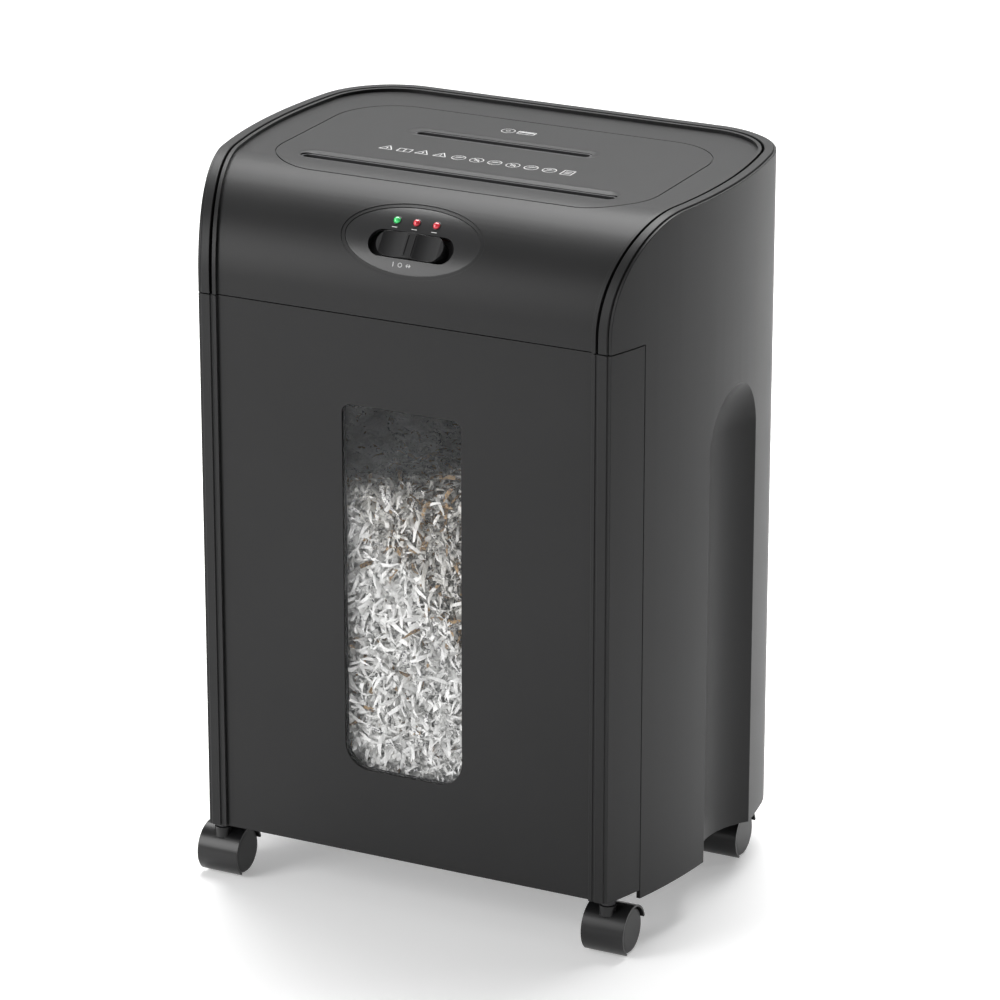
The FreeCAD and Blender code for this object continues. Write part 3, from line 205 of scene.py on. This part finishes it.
def plastic(name, colour, roughness, grain=2200.0, grain_depth=0.00002, wander=0.05, sheen=0.5):
    sh = Shader(name)
    broad = sh.noise(9.0, 4.0)
    fine = sh.noise(grain, 2.0)
    wear = sh.edge_wear(0.0008)
    dark = [c * 0.86 for c in colour] + [1.0]
    pale = [c * 1.14 for c in colour] + [1.0]
    worn = [min(1.0, c * 1.5 + 0.006) for c in colour] + [1.0]
    base = sh.mix(broad.ramp(0.3, 0.7), dark, pale)
    rough = (broad * wander * 2.0) + (roughness - wander)
    return sh.set(
        Base_Color=sh.mix(wear, base, worn),
        Roughness=(rough - wear * 0.08).clamp(),
        Normal=sh.bump(fine, grain_depth),
        Specular_IOR_Level=sheen,
    )


SHELL = plastic("textured_black_shell", (0.0115, 0.0115, 0.0118), 0.43, sheen=0.26)
TRIM = plastic("smooth_black_trim", (0.012, 0.012, 0.0125), 0.30, 900.0, 0.000004, 0.04)
INNER = plastic("inner_black_plastic", (0.030, 0.030, 0.032), 0.60, 1400.0, 0.00002)
CASTER = plastic("caster_nylon", (0.008, 0.008, 0.0084), 0.30, 1200.0, 0.000008, sheen=0.40)
WHEEL = plastic("wheel_nylon", (0.012, 0.012, 0.0125), 0.42, 900.0, 0.00002, sheen=0.40)
NYLON = plastic("natural_nylon", (0.72, 0.70, 0.63), 0.42, 700.0, 0.00001)
SENSOR = plastic("sensor_plastic", (0.05, 0.05, 0.06), 0.30, 800.0, 0.000004)

# %% [markdown]
# Metal shows its making: turned and ground parts carry fine lines round their axis,
# so the noise is stretched along one direction before it bends the normal.

# %% Metals and the board


def metal(name, colour, roughness, stretch=(4.0, 900.0, 900.0)):
    sh = Shader(name)
    scaled = sh.node("ShaderNodeMapping", {"vector_type": "POINT"},
                     {"Vector": sh.place(), "Scale": stretch})
    lines = sh.noise(1.0, 3.0, where=scaled)
    stain = sh.noise(26.0, 4.0)
    base = sh.mix(stain.ramp(0.35, 0.75), [c * 0.8 for c in colour] + [1.0], list(colour) + [1.0])
    rough = stain.ramp(0.2, 0.8, roughness - 0.06, roughness + 0.1)
    return sh.set(Base_Color=base, Metallic=1.0, Roughness=rough, Normal=sh.bump(lines, 0.00002))


ZINC = metal("zinc_plated_steel", (0.62, 0.63, 0.64), 0.30, (900.0, 30.0, 900.0))
CUTTER = metal("oiled_cutter_steel", (0.42, 0.42, 0.44), 0.24)
GEAR_STEEL = metal("sintered_gear_steel", (0.40, 0.40, 0.41), 0.42)
BRONZE = metal("sintered_bronze", (0.62, 0.42, 0.20), 0.36)


def circuit_board():
    sh = Shader("lacquered_board")
    tracks = sh.node("ShaderNodeTexVoronoi", {"distance": "MANHATTAN"},
                     {"Vector": sh.place(), "Scale": 220.0})
    base = sh.mix(tracks.ramp(0.30, 0.36), [0.03, 0.20, 0.08, 1.0], [0.02, 0.11, 0.05, 1.0])
    return sh.set(Base_Color=base, Roughness=0.35, Normal=sh.bump(tracks, 0.00003))


BOARD = circuit_board()

# %% [markdown]
# Clear plastic: the window is thin, so straight-through transparency with a glossy
# coat reads better than real refraction and renders with far less noise. It is a
# little cloudy from the dust that shredding leaves.

# %% Clear and lit pieces


def window_plastic():
    sh = Shader("clear_window_plastic")
    dust = sh.noise(60.0, 5.0, 0.65)
    haze = sh.noise(7.0, 2.0)
    return sh.set(Base_Color=sh.mix(dust, [0.80, 0.82, 0.83, 1.0], [0.95, 0.96, 0.97, 1.0]),
                  Alpha=(dust.ramp(0.40, 0.8, 0.015, 0.03) + haze.ramp(0.4, 0.8, 0.0, 0.02)),
                  Roughness=dust.ramp(0.3, 0.8, 0.06, 0.16), Coat_Weight=1.0, Specular_IOR_Level=0.6)


def lamp(name, colour, glow):
    sh = Shader(name)
    deep = [c * 0.55 for c in colour] + [1.0]
    cloud = sh.noise(500.0, 2.0)
    base = sh.mix(cloud.ramp(0.35, 0.65), deep, list(colour) + [1.0])
    return sh.set(Base_Color=base, Roughness=cloud.ramp(0.3, 0.7, 0.08, 0.16), Emission_Color=base,
                  Emission_Strength=glow, Coat_Weight=1.0, Normal=sh.bump(cloud, 0.00001))


WINDOW = window_plastic()
GREEN = lamp("green_lamp", (0.05, 0.62, 0.16), 0.55)
RED = lamp("red_lamp", (0.70, 0.04, 0.06), 0.35)


def print_ink():
    sh = Shader("pad_printed_ink")
    thin = sh.noise(1600.0, 2.0)
    ink = sh.mix(thin, [0.55, 0.55, 0.55, 1.0], [0.78, 0.78, 0.77, 1.0])
    return sh.set(Base_Color=ink, Roughness=0.55, Normal=sh.bump(thin, 0.000005))


INK = print_ink()

# %% [markdown]
# Paper shreds: most are white, some carry the grey of printed lines and a few are
# brown. Two random numbers for each strip, stored by Geometry Nodes as the attributes
# "shade" and "tone", pick its colour. A slanting line through the pile splits lighter
# paper below from darker paper above, where more print and brown bits show. This split
# is painted light: the lighter lower side is a painted reflection of glare on the window.

# %% Paper
# Slope, height and waver of the slanting line where the painted window glare ends.
PILE_SLOPE, PILE_LINE, PILE_WAVER = 1.09, 0.233, 0.05


def shredded_paper():
    sh = Shader("shredded_paper")
    shade = sh.node("ShaderNodeAttribute", {"attribute_name": "shade"}, {}, out="Fac")
    tone = sh.node("ShaderNodeAttribute", {"attribute_name": "tone"}, {}, out="Fac")
    text = sh.noise(900.0, 2.0)
    across = sh.node("ShaderNodeSeparateXYZ", {}, {0: sh.place()}, out=0)
    height = sh.node("ShaderNodeSeparateXYZ", {}, {0: sh.place()}, out=2)
    streak = sh.noise(22.0, 2.0)
    # Height above the slanting line. The ramp below is 1 on the darker upper side, past the painted
    # window glare, where more print and brown bits show.
    off_line = height + across * PILE_SLOPE - PILE_LINE + (streak - 0.5) * PILE_WAVER
    past_painted_glare = off_line.ramp(-0.012, 0.010)
    print_mask = text.above(0.56) * (shade + past_painted_glare * 0.42).above(0.90)
    brown = (shade * 0.7 + tone * 0.3 + past_painted_glare * 0.16).above(0.88)
    # Two ranges of white: the lighter one is paper painted lighter as if seen through glare on the
    # window, the darker one is paper beyond that painted glare.
    glare_lit_white = sh.mix(tone, [0.80, 0.80, 0.79, 1.0], [0.98, 0.98, 0.97, 1.0])
    unglared_white = sh.mix(tone, [0.42, 0.41, 0.38, 1.0], [0.92, 0.91, 0.89, 1.0])
    white = sh.mix(past_painted_glare, glare_lit_white, unglared_white)
    base = sh.mix(brown, white, [0.36, 0.25, 0.14, 1.0])
    base = sh.mix(print_mask, base, [0.09, 0.09, 0.11, 1.0])
    return sh.set(Base_Color=base, Roughness=0.85, Normal=sh.bump(text, 0.00002))


PAPER = shredded_paper()

# %% [markdown]
# ## Dressing the CAD
#
# CAD faces meet in knife edges, and nothing moulded does. A dressed piece is a copy
# of a CAD node with its doubled points merged, a small bevel on the sharp edges and
# smooth shading elsewhere. It then stands for the node it came from.

# %% Copy, bevel and shade a CAD node


def all_faces_smooth(mesh, angle):
    """Smooth shading, with edges sharper than the angle kept crisp."""
    mesh.polygons.foreach_set("use_smooth", [True] * len(mesh.polygons))
    work = bmesh.new()
    work.from_mesh(mesh)
    for edge in work.edges:
        edge.smooth = len(edge.link_faces) == 2 and edge.calc_face_angle(0.0) < angle
    work.to_mesh(mesh)
    work.free()


def baked(obj):
    """Turns the object's modifiers into plain mesh and removes them."""
    depsgraph = bpy.context.evaluated_depsgraph_get()
    mesh = bpy.data.meshes.new_from_object(obj.evaluated_get(depsgraph))
    obj.modifiers.clear()
    obj.data = mesh
    return obj


def new_object(name, mesh):
    obj = bpy.data.objects.new(name, mesh)
    bpy.context.scene.collection.objects.link(obj)
    return obj


def dressed(node, material, bevel=0.0, segments=2):
    """A visual copy of a CAD node with soft edges; it replaces the node."""
    mesh = nodes[node].data.copy()
    work = bmesh.new()
    work.from_mesh(mesh)
    bmesh.ops.remove_doubles(work, verts=work.verts, dist=0.000002)
    bmesh.ops.dissolve_limit(work, angle_limit=math.radians(0.6), verts=work.verts, edges=work.edges)
    bmesh.ops.recalc_face_normals(work, faces=work.faces)
    work.to_mesh(mesh)
    work.free()
    mesh.materials.clear()
    mesh.materials.append(material)
    obj = new_object(node + "_look", mesh)
    if bevel > 0.0:
        round_over = obj.modifiers.new("round_over", "BEVEL")
        round_over.width = bevel
        round_over.segments = segments
        round_over.limit_method = "ANGLE"
        round_over.angle_limit = math.radians(32)
        round_over.use_clamp_overlap = True
        round_over.harden_normals = False
        weigh = obj.modifiers.new("weigh", "WEIGHTED_NORMAL")
        weigh.keep_sharp = True
        all_faces_smooth(mesh, math.radians(60))
        baked(obj)
    else:
        all_faces_smooth(mesh, math.radians(35))
    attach(obj, nodes[node]["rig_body"])
    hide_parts(node)
    return obj


for node in ("left_side_panel", "right_side_panel", "bin_front", "head_rim", "top_cover", "rear_panel"):
    dressed(node, SHELL, 0.0005)
for node in ("control_bezel", "mode_switch"):
    dressed(node, TRIM, 0.0003)
for node in nodes:
    if node.endswith("_hood"):
        dressed(node, CASTER, 0.0004)
    if node.endswith("_wheel"):
        dressed(node, WHEEL, 0.0004)
for node in ("power_lens", "overload_lens", "overheat_lens"):
    dressed(node, GREEN if node == "power_lens" else RED)
dressed("bin_window", WINDOW, 0.0002)

# %% [markdown]
# ## The rest of the CAD nodes
#
# Inside pieces keep their CAD meshes. Only their materials change.

# %% Materials by node
finishes = {
    INNER: ["base_plate", "head_tray", "bin_tub", "switch_body", "paper_chute", "card_chute",
            "gearbox_cover", "front_comb", "rear_comb", "cord_gland"],
    ZINC: ["left_cutter_plate", "right_cutter_plate", "tie_rods", "motor_can", "gear_posts",
           "rear_screws", "bin_magnet"],
    CUTTER: ["front_cutter", "rear_cutter", "motor_rotor"],
    GEAR_STEEL: ["front_cutter_gear", "rear_cutter_gear", "motor_pinion"],
    NYLON: ["final_gear", "middle_gear", "first_gear", "motor_fan"],
    SENSOR: ["paper_sensor", "bin_sensor", "thermal_cutout"],
    BRONZE: ["cutter_bushes"],
    BOARD: ["control_board"],
}
for node in nodes:
    if node.endswith("_axle"):
        finishes[ZINC].append(node)
for material, names in finishes.items():
    for name in names:
        nodes[name].data.materials.clear()
        nodes[name].data.materials.append(material)

# %% [markdown]
# ## Shredded paper
#
# The paper reaches three quarters up the window. Scattering strips through the whole volume would waste a
# million faces, so a lumpy core fills the bin and strips cover only what shows: the
# side against the window and the top of the pile.

# %% One strip


def strip_mesh(name, length, width, curl, twist):
    """A narrow strip of paper, bent along its length and twisted a little."""
    steps = 4
    points = []
    for i in range(steps + 1):
        t = i / steps - 0.5
        bend = curl * (0.25 - t * t) * 4
        lean = twist * t
        for side in (-0.5, 0.5):
            y = side * width * math.cos(lean)
            z = bend + side * width * math.sin(lean)
            points.append((t * length, y, z))
    faces = [(2 * i, 2 * i + 2, 2 * i + 3, 2 * i + 1) for i in range(steps)]
    mesh = bpy.data.meshes.new(name)
    mesh.from_pydata(points, [], faces)
    return mesh


strips = bpy.data.collections.new("strips")
shapes = [(0.012, 0.0022, 0.0018, 0.8), (0.018, 0.0024, 0.0034, 1.6), (0.010, 0.0030, 0.0012, 0.3),
          (0.015, 0.0019, 0.0044, 2.4), (0.007, 0.0036, 0.0014, 1.0)]
for index, (length, width, curl, twist) in enumerate(shapes):
    mesh = strip_mesh("strip_%d" % index, length, width, curl, twist)
    strips.objects.link(bpy.data.objects.new("strip_%d" % index, mesh))

# %% [markdown]
# A node group places points at random in a box, turns each strip at random, stores
# its two colour numbers, makes the copies real and gives them the paper material.
# The box is an input, so the same group fills the front and the top of the pile.

# %% The scatter, as Geometry Nodes


class Graph:
    """A Geometry Nodes group with inputs declared by name."""

    def __init__(self, name):
        self.tree = bpy.data.node_groups.new(name, "GeometryNodeTree")
        self.ids = {}
        self.start = self.tree.nodes.new("NodeGroupInput")
        self.end = self.tree.nodes.new("NodeGroupOutput")
        self.tree.interface.new_socket("Geometry", in_out="OUTPUT", socket_type="NodeSocketGeometry")

    def input(self, name, kind):
        socket = self.tree.interface.new_socket(name, in_out="INPUT", socket_type=kind)
        self.ids[name] = socket.identifier
        return self.start.outputs[name]

    def node(self, kind, settings, values, out=0):
        made = self.tree.nodes.new(kind)
        for key, value in settings.items():
            setattr(made, key, value)
        for key, value in values.items():
            if isinstance(value, bpy.types.NodeSocket):
                self.tree.links.new(value, made.inputs[key])
            else:
                made.inputs[key].default_value = value
        return made.outputs[out]


def scatter_group():
    g = Graph("scatter_strips")
    count = g.input("Count", "NodeSocketInt")
    low = g.input("Low", "NodeSocketVector")
    high = g.input("High", "NodeSocketVector")
    lay_flat = g.input("Lay flat", "NodeSocketVector")
    seed = g.input("Seed", "NodeSocketInt")
    where = g.node("FunctionNodeRandomValue", {"data_type": "FLOAT_VECTOR"},
                   {0: low, 1: high, "Seed": seed})
    points = g.node("GeometryNodePoints", {}, {"Count": count, "Position": where})
    turn = g.node("FunctionNodeRandomValue", {"data_type": "FLOAT_VECTOR"},
                  {0: (-3.14, -3.14, -3.14), 1: (3.14, 3.14, 3.14), "Seed": 11})
    flat = g.node("ShaderNodeVectorMath", {"operation": "MULTIPLY"}, {0: turn, 1: lay_flat})
    size = g.node("FunctionNodeRandomValue", {"data_type": "FLOAT"}, {2: 0.6, 3: 1.35, "Seed": 12}, out=1)
    choice = g.node("GeometryNodeCollectionInfo", {},
                    {"Collection": strips, "Separate Children": True, "Reset Children": True})
    copies = g.node("GeometryNodeInstanceOnPoints", {},
                    {"Points": points, "Instance": choice, "Pick Instance": True,
                     "Rotation": flat, "Scale": size})
    shade = g.node("FunctionNodeRandomValue", {"data_type": "FLOAT"}, {2: 0.0, 3: 1.0, "Seed": 13}, out=1)
    marked = g.node("GeometryNodeStoreNamedAttribute", {"data_type": "FLOAT", "domain": "INSTANCE"},
                    {"Geometry": copies, "Name": "shade", "Value": shade})
    tone = g.node("FunctionNodeRandomValue", {"data_type": "FLOAT"}, {2: 0.0, 3: 1.0, "Seed": 14}, out=1)
    toned = g.node("GeometryNodeStoreNamedAttribute", {"data_type": "FLOAT", "domain": "INSTANCE"},
                   {"Geometry": marked, "Name": "tone", "Value": tone})
    real = g.node("GeometryNodeRealizeInstances", {}, {"Geometry": toned})
    painted = g.node("GeometryNodeSetMaterial", {}, {"Geometry": real, "Material": PAPER})
    g.tree.links.new(painted, g.end.inputs[0])
    return g


group = scatter_group()


def scattered(name, count, low, high, lay_flat, seed):
    obj = new_object(name, bpy.data.meshes.new(name))
    modifier = obj.modifiers.new("scatter", "NODES")
    modifier.node_group = group.tree
    values = {"Count": count, "Low": low, "High": high, "Lay flat": lay_flat, "Seed": seed}
    for key, value in values.items():
        modifier[group.ids[key]] = value
    baked(obj)
    return obj


# %% [markdown]
# The pile's sizes come from the tub and the window, so it still fits if they change.

# %% Fill the bin
tub_low, tub_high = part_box("bin_tub")
window_low, window_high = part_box("bin_window")
pile_top = window_low.z + 0.190
front_y = tub_low.y + 0.0075
left, right = tub_low.x + 0.012, tub_high.x - 0.012
rear = tub_high.y - 0.014
floor_z = tub_low.z + 0.011

front_strips = scattered(
    "shreds_front", 13000,
    (window_low.x - 0.004, front_y, window_low.z - 0.006),
    (window_high.x + 0.004, front_y + 0.012, pile_top + 0.004),
    (1.0, 1.0, 1.0), 3)
top_strips = scattered(
    "shreds_top", 9000,
    (left + 0.004, front_y, pile_top - 0.010), (right - 0.004, rear - 0.006, pile_top + 0.006),
    (0.25, 0.25, 1.0), 8)


def pile_core():
    """A lumpy block of packed paper under the loose strips."""
    mesh = bpy.data.meshes.new("packed_paper_core")
    work = bmesh.new()
    bmesh.ops.create_cube(work, size=1.0)
    bmesh.ops.subdivide_edges(work, edges=work.edges, cuts=14, use_grid_fill=True)
    low = Vector((left, front_y + 0.006, floor_z))
    high = Vector((right, rear, pile_top - 0.004))
    lumps = random.Random(5)
    for vertex in work.verts:
        for axis in range(3):
            vertex.co[axis] = low[axis] + (vertex.co[axis] + 0.5) * (high[axis] - low[axis])
        if vertex.co.z > floor_z + 0.02:
            vertex.co.z -= lumps.uniform(0.0, 0.008)
        if vertex.co.y < low.y + 0.001:
            vertex.co.y += lumps.uniform(0.0, 0.003)
    work.to_mesh(mesh)
    work.free()
    mesh.materials.append(PAPER)
    obj = new_object("packed_paper_core", mesh)
    all_faces_smooth(mesh, math.radians(60))
    return obj


for piece in (front_strips, top_strips, pile_core()):
    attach(piece, "bin")
    print(piece.name, len(piece.data.polygons), "faces")

# %% [markdown]
# ## Printed pictograms
#
# The makers print little signs by the slots. Here they are plain shapes that say
# nothing in particular: outlined triangles, sheets, rings and bars, each built from
# thin flat ribbons laid just over the face.

# %% Ribbons and signs
FIELD_HALF_X, FIELD_HALF_Y = 0.12, 0.065
field = [v.co for v in nodes["top_cover"].data.vertices]
top_high = max(co.z for co in field if abs(co.y) < FIELD_HALF_Y and abs(co.x) < FIELD_HALF_X)
print("top face at %.4f m" % top_high)
LINE = 0.0006
INK_RISE = 0.00006


def ribbon(work, points, place, width=LINE, closed=False):
    """A flat line through the points. place turns (x, y) into a 3-D point."""
    count = len(points)
    last = count if closed else count - 1
    for i in range(last):
        a = Vector(points[i]).to_2d()
        b = Vector(points[(i + 1) % count]).to_2d()
        along = (b - a).normalized()
        side = Vector((-along.y, along.x)) * width / 2
        a, b = a - along * width / 2, b + along * width / 2
        corners = [a - side, b - side, b + side, a + side]
        work.faces.new([work.verts.new(place(c.x, c.y)) for c in corners])


def ring(radius, steps=14, start=0.0):
    turns = [start + 2 * math.pi * i / steps for i in range(steps)]
    return [(radius * math.cos(turn), radius * math.sin(turn)) for turn in turns]


def rectangle(half_width, half_height):
    return [(-half_width, -half_height), (half_width, -half_height),
            (half_width, half_height), (-half_width, half_height)]


def sign(work, kind, place):
    """Draws one of a few plain signs about the origin of place."""
    r = 0.0046
    if kind == "triangle":
        ribbon(work, ring(r * 1.15, 3, math.pi / 2), place, closed=True)
        ribbon(work, [(0, r * 0.35), (0, -r * 0.2)], place)
    elif kind == "sheet":
        ribbon(work, rectangle(r, r * 0.7), place, closed=True)
        ribbon(work, [(0, -r * 0.7), (0, r * 0.7)], place)
    elif kind == "barred":
        ribbon(work, ring(r), place, closed=True)
        ribbon(work, [(-r * 0.7, -r * 0.7), (r * 0.7, r * 0.7)], place)
        ribbon(work, [(-r * 0.45, r * 0.25), (r * 0.1, r * 0.45)], place)
    elif kind == "clip":
        ribbon(work, ring(r), place, closed=True)
        ribbon(work, [(-r * 0.7, r * 0.7), (r * 0.7, -r * 0.7)], place)
        ribbon(work, ring(r * 0.35, 8), place, closed=True)
    elif kind == "page":
        ribbon(work, rectangle(r * 0.8, r), place, closed=True)
        for step in (-0.4, 0.0, 0.4):
            ribbon(work, [(-r * 0.4, r * step), (r * 0.4, r * step)], place)
    elif kind == "card":
        ribbon(work, rectangle(r * 1.3, r * 0.6), place, closed=True)
        ribbon(work, [(-r * 1.3, r * 0.2), (r * 1.3, r * 0.2)], place, width=LINE * 2)
    elif kind == "disc":
        ribbon(work, ring(r), place, closed=True)
        ribbon(work, ring(r * 0.3, 8), place, closed=True)


def on_top(x, y, z):
    return lambda dx, dy: Vector((x + dx, y + dy, z))


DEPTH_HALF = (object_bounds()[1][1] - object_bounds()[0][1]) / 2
work = bmesh.new()
row = ["triangle", "sheet", "triangle", "triangle", "barred", "clip", "barred", "clip",
       "barred", "barred", "page"]
ROW_START, ROW_STEP, ROW_BACK, PAIR_BACK = -0.0685, 0.0130, 0.1150, 0.1855
for index, kind in enumerate(row):
    sign(work, kind, on_top(ROW_START + index * ROW_STEP, ROW_BACK - DEPTH_HALF, top_high + INK_RISE))
for x, kind in ((-0.0155, "disc"), (-0.0022, "card")):
    sign(work, kind, on_top(x, PAIR_BACK - DEPTH_HALF, top_high + INK_RISE))

# %% [markdown]
# The panel is part of a drum, so its marks are bent round the drum's axis.

# %% Marks on the panel
FRONT_ROUND = 0.070
FRONT_AXIS = Vector((0.0, FRONT_ROUND - DEPTH_HALF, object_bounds()[1][2] - FRONT_ROUND))
PANEL_SINK = 0.0033
PANEL_TILT = math.radians(38.5)
LAMPS = [-0.0011 + index * 0.0139 for index in (-1, 0, 1)]
LAMP_UP, DASH_UP, MARK_UP = 0.0118, 0.0068, -0.0174


def on_panel(x, up, rise=0.0):
    """A spot on the control panel, x from the middle and up along the slope."""
    radius = FRONT_ROUND - PANEL_SINK + INK_RISE + rise

    def place(dx, dy):
        a = PANEL_TILT + (up + dy) / radius
        return FRONT_AXIS + Vector((x + dx, -radius * math.cos(a), radius * math.sin(a)))

    return place


for x in LAMPS:
    ribbon(work, [(-0.0016, 0.0), (0.0016, 0.0)], on_panel(x, DASH_UP), width=0.0005)
ribbon(work, [(0.0, -0.0012), (0.0, 0.0012)], on_panel(-0.0093, MARK_UP), width=0.0005)
ribbon(work, ring(0.0013, 12), on_panel(-0.0044, MARK_UP), width=0.0004, closed=True)
arrow = on_panel(0.0013, MARK_UP)
ribbon(work, [(-0.0014, 0.0), (0.0014, 0.0)], arrow, width=0.0004)
for side in (-1, 1):
    head = [(side * 0.0006, 0.0009), (side * 0.0015, 0.0), (side * 0.0006, -0.0009)]
    ribbon(work, head, arrow, width=0.0004)
signs_mesh = bpy.data.meshes.new("printed_signs")
work.to_mesh(signs_mesh)
work.free()
signs_mesh.materials.append(INK)
signs = new_object("printed_signs", signs_mesh)
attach(signs, "cabinet")
print("printed signs:", len(signs_mesh.polygons), "ribbons")

# %% [markdown]
# Each lamp sits in a small raised ring, which throws a dark line round the lens.

# %% Rings round the lamps
RING_R, RING_THICK = 0.00275, 0.00035


def lamp_rings():
    work = bmesh.new()
    around, across = 28, 6
    for x in LAMPS:
        rows = []
        for i in range(around):
            turn = 2 * math.pi * i / around
            loop = []
            for j in range(across + 1):
                bend = math.pi * j / across
                radius = RING_R - RING_THICK * math.cos(bend)
                spot = on_panel(x, LAMP_UP, RING_THICK * math.sin(bend) - INK_RISE)
                loop.append(work.verts.new(spot(radius * math.cos(turn), radius * math.sin(turn))))
            rows.append(loop)
        for i in range(around):
            a, b = rows[i], rows[(i + 1) % around]
            for j in range(across):
                work.faces.new((a[j], a[j + 1], b[j + 1], b[j]))
    bmesh.ops.recalc_face_normals(work, faces=work.faces)
    mesh = bpy.data.meshes.new("lamp_rings")
    work.to_mesh(mesh)
    work.free()
    mesh.materials.append(TRIM)
    obj = new_object("lamp_rings", mesh)
    all_faces_smooth(mesh, math.radians(70))
    return obj


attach(lamp_rings(), "cabinet")

# %% [markdown]
# ## Stage, light and camera
#
# A pale floor bends up behind the shredder, so no horizon shows. It glows a little,
# because black plastic needs so little light that the floor would turn grey.

# %% Stage


def sweep():
    """Floor and backdrop in one smooth sheet."""
    mesh = bpy.data.meshes.new("sweep")
    profile = [(-6.0, 0.0), (3.0, 0.0)]
    for i in range(1, 13):
        a = i / 12 * math.pi / 2
        profile.append((3.0 + 1.5 * math.sin(a), 1.5 - 1.5 * math.cos(a)))
    profile.append((4.5, 6.0))
    points = [(x, y, z) for y, z in profile for x in (-7.0, 7.0)]
    faces = [(2 * i, 2 * i + 1, 2 * i + 3, 2 * i + 2) for i in range(len(profile) - 1)]
    mesh.from_pydata(points, [], faces)
    all_faces_smooth(mesh, math.radians(60))
    sh = Shader("pale_paper_backdrop")
    grain = sh.noise(3.0, 2.0)
    sh.set(Base_Color=sh.mix(grain, [0.90, 0.90, 0.90, 1.0], [0.93, 0.93, 0.93, 1.0]), Roughness=0.6,
           Emission_Color=(1.0, 1.0, 1.0, 1.0), Emission_Strength=0.3)
    mesh.materials.append(sh.material)
    return new_object("sweep", mesh)


sweep()

# %% [markdown]
# The room is bright to the left and dim to the right, so the round of the front and
# the right side stay dark and their edges show.

# %% Room light


def studio_world():
    world = bpy.data.worlds.new("studio")
    world.use_nodes = True
    tree = world.node_tree
    background = tree.nodes["Background"]
    aim = tree.nodes.new("ShaderNodeTexCoord")
    parts = tree.nodes.new("ShaderNodeSeparateXYZ")
    tree.links.new(aim.outputs["Generated"], parts.inputs[0])
    fade = tree.nodes.new("ShaderNodeMapRange")
    fade_from_x, fade_to_x, left_strength, right_strength = -1.0, 0.5, 0.75, 0.05
    for index, value in enumerate((fade_from_x, fade_to_x, left_strength, right_strength), 1):
        fade.inputs[index].default_value = value
    tree.links.new(parts.outputs[0], fade.inputs[0])
    tree.links.new(fade.outputs[0], background.inputs["Strength"])
    background.inputs["Color"].default_value = (1.0, 1.0, 1.0, 1.0)
    return world


bpy.context.scene.world = studio_world()
bpy.context.scene.view_settings.view_transform = "Standard"


# %% [markdown]
# Three soft lights: a broad one overhead and behind for the top face and the floor, a
# weak one behind on the right for the long edge highlights, and one close on the left
# front, whose light falls off across the front.

# %% Lights


def area_light(name, place, target, width, height, power):
    light = bpy.data.lights.new(name, "AREA")
    light.shape = "RECTANGLE"
    light.size = width
    light.size_y = height
    light.energy = power
    obj = bpy.data.objects.new(name, light)
    bpy.context.scene.collection.objects.link(obj)
    obj.location = place
    obj.rotation_euler = (Vector(target) - Vector(place)).to_track_quat("-Z", "Y").to_euler()
    return obj


area_light("overhead", (-0.3, 1.0, 2.3), (0.0, 0.3, 0.2), 2.2, 1.4, 88.0)
area_light("back_right", (2.2, 1.6, 1.5), (0.1, 0.0, 0.3), 0.6, 1.4, 5.0)
area_light("left_front", (-1.1, -1.5, 0.9), (-0.1, 0.0, 0.25), 0.8, 1.2, 19.0)

# %% [markdown]
# A long lens from a little over three metres keeps the sides nearly parallel.

# %% Camera
LENS = 179.76
LOOK_DOWN, LOOK_FROM_RIGHT = 20.16, 26.32
camera_data = bpy.data.cameras.new("camera")
camera_data.sensor_width = 36.0
camera_data.lens = LENS
camera_data.clip_end = 50.0
camera = bpy.data.objects.new("camera", camera_data)
bpy.context.scene.collection.objects.link(camera)
camera.location = (1.38033, -2.77565, 1.38939)
camera.rotation_euler = (math.radians(90.0 - LOOK_DOWN), 0.0, math.radians(LOOK_FROM_RIGHT))
bpy.context.scene.camera = camera
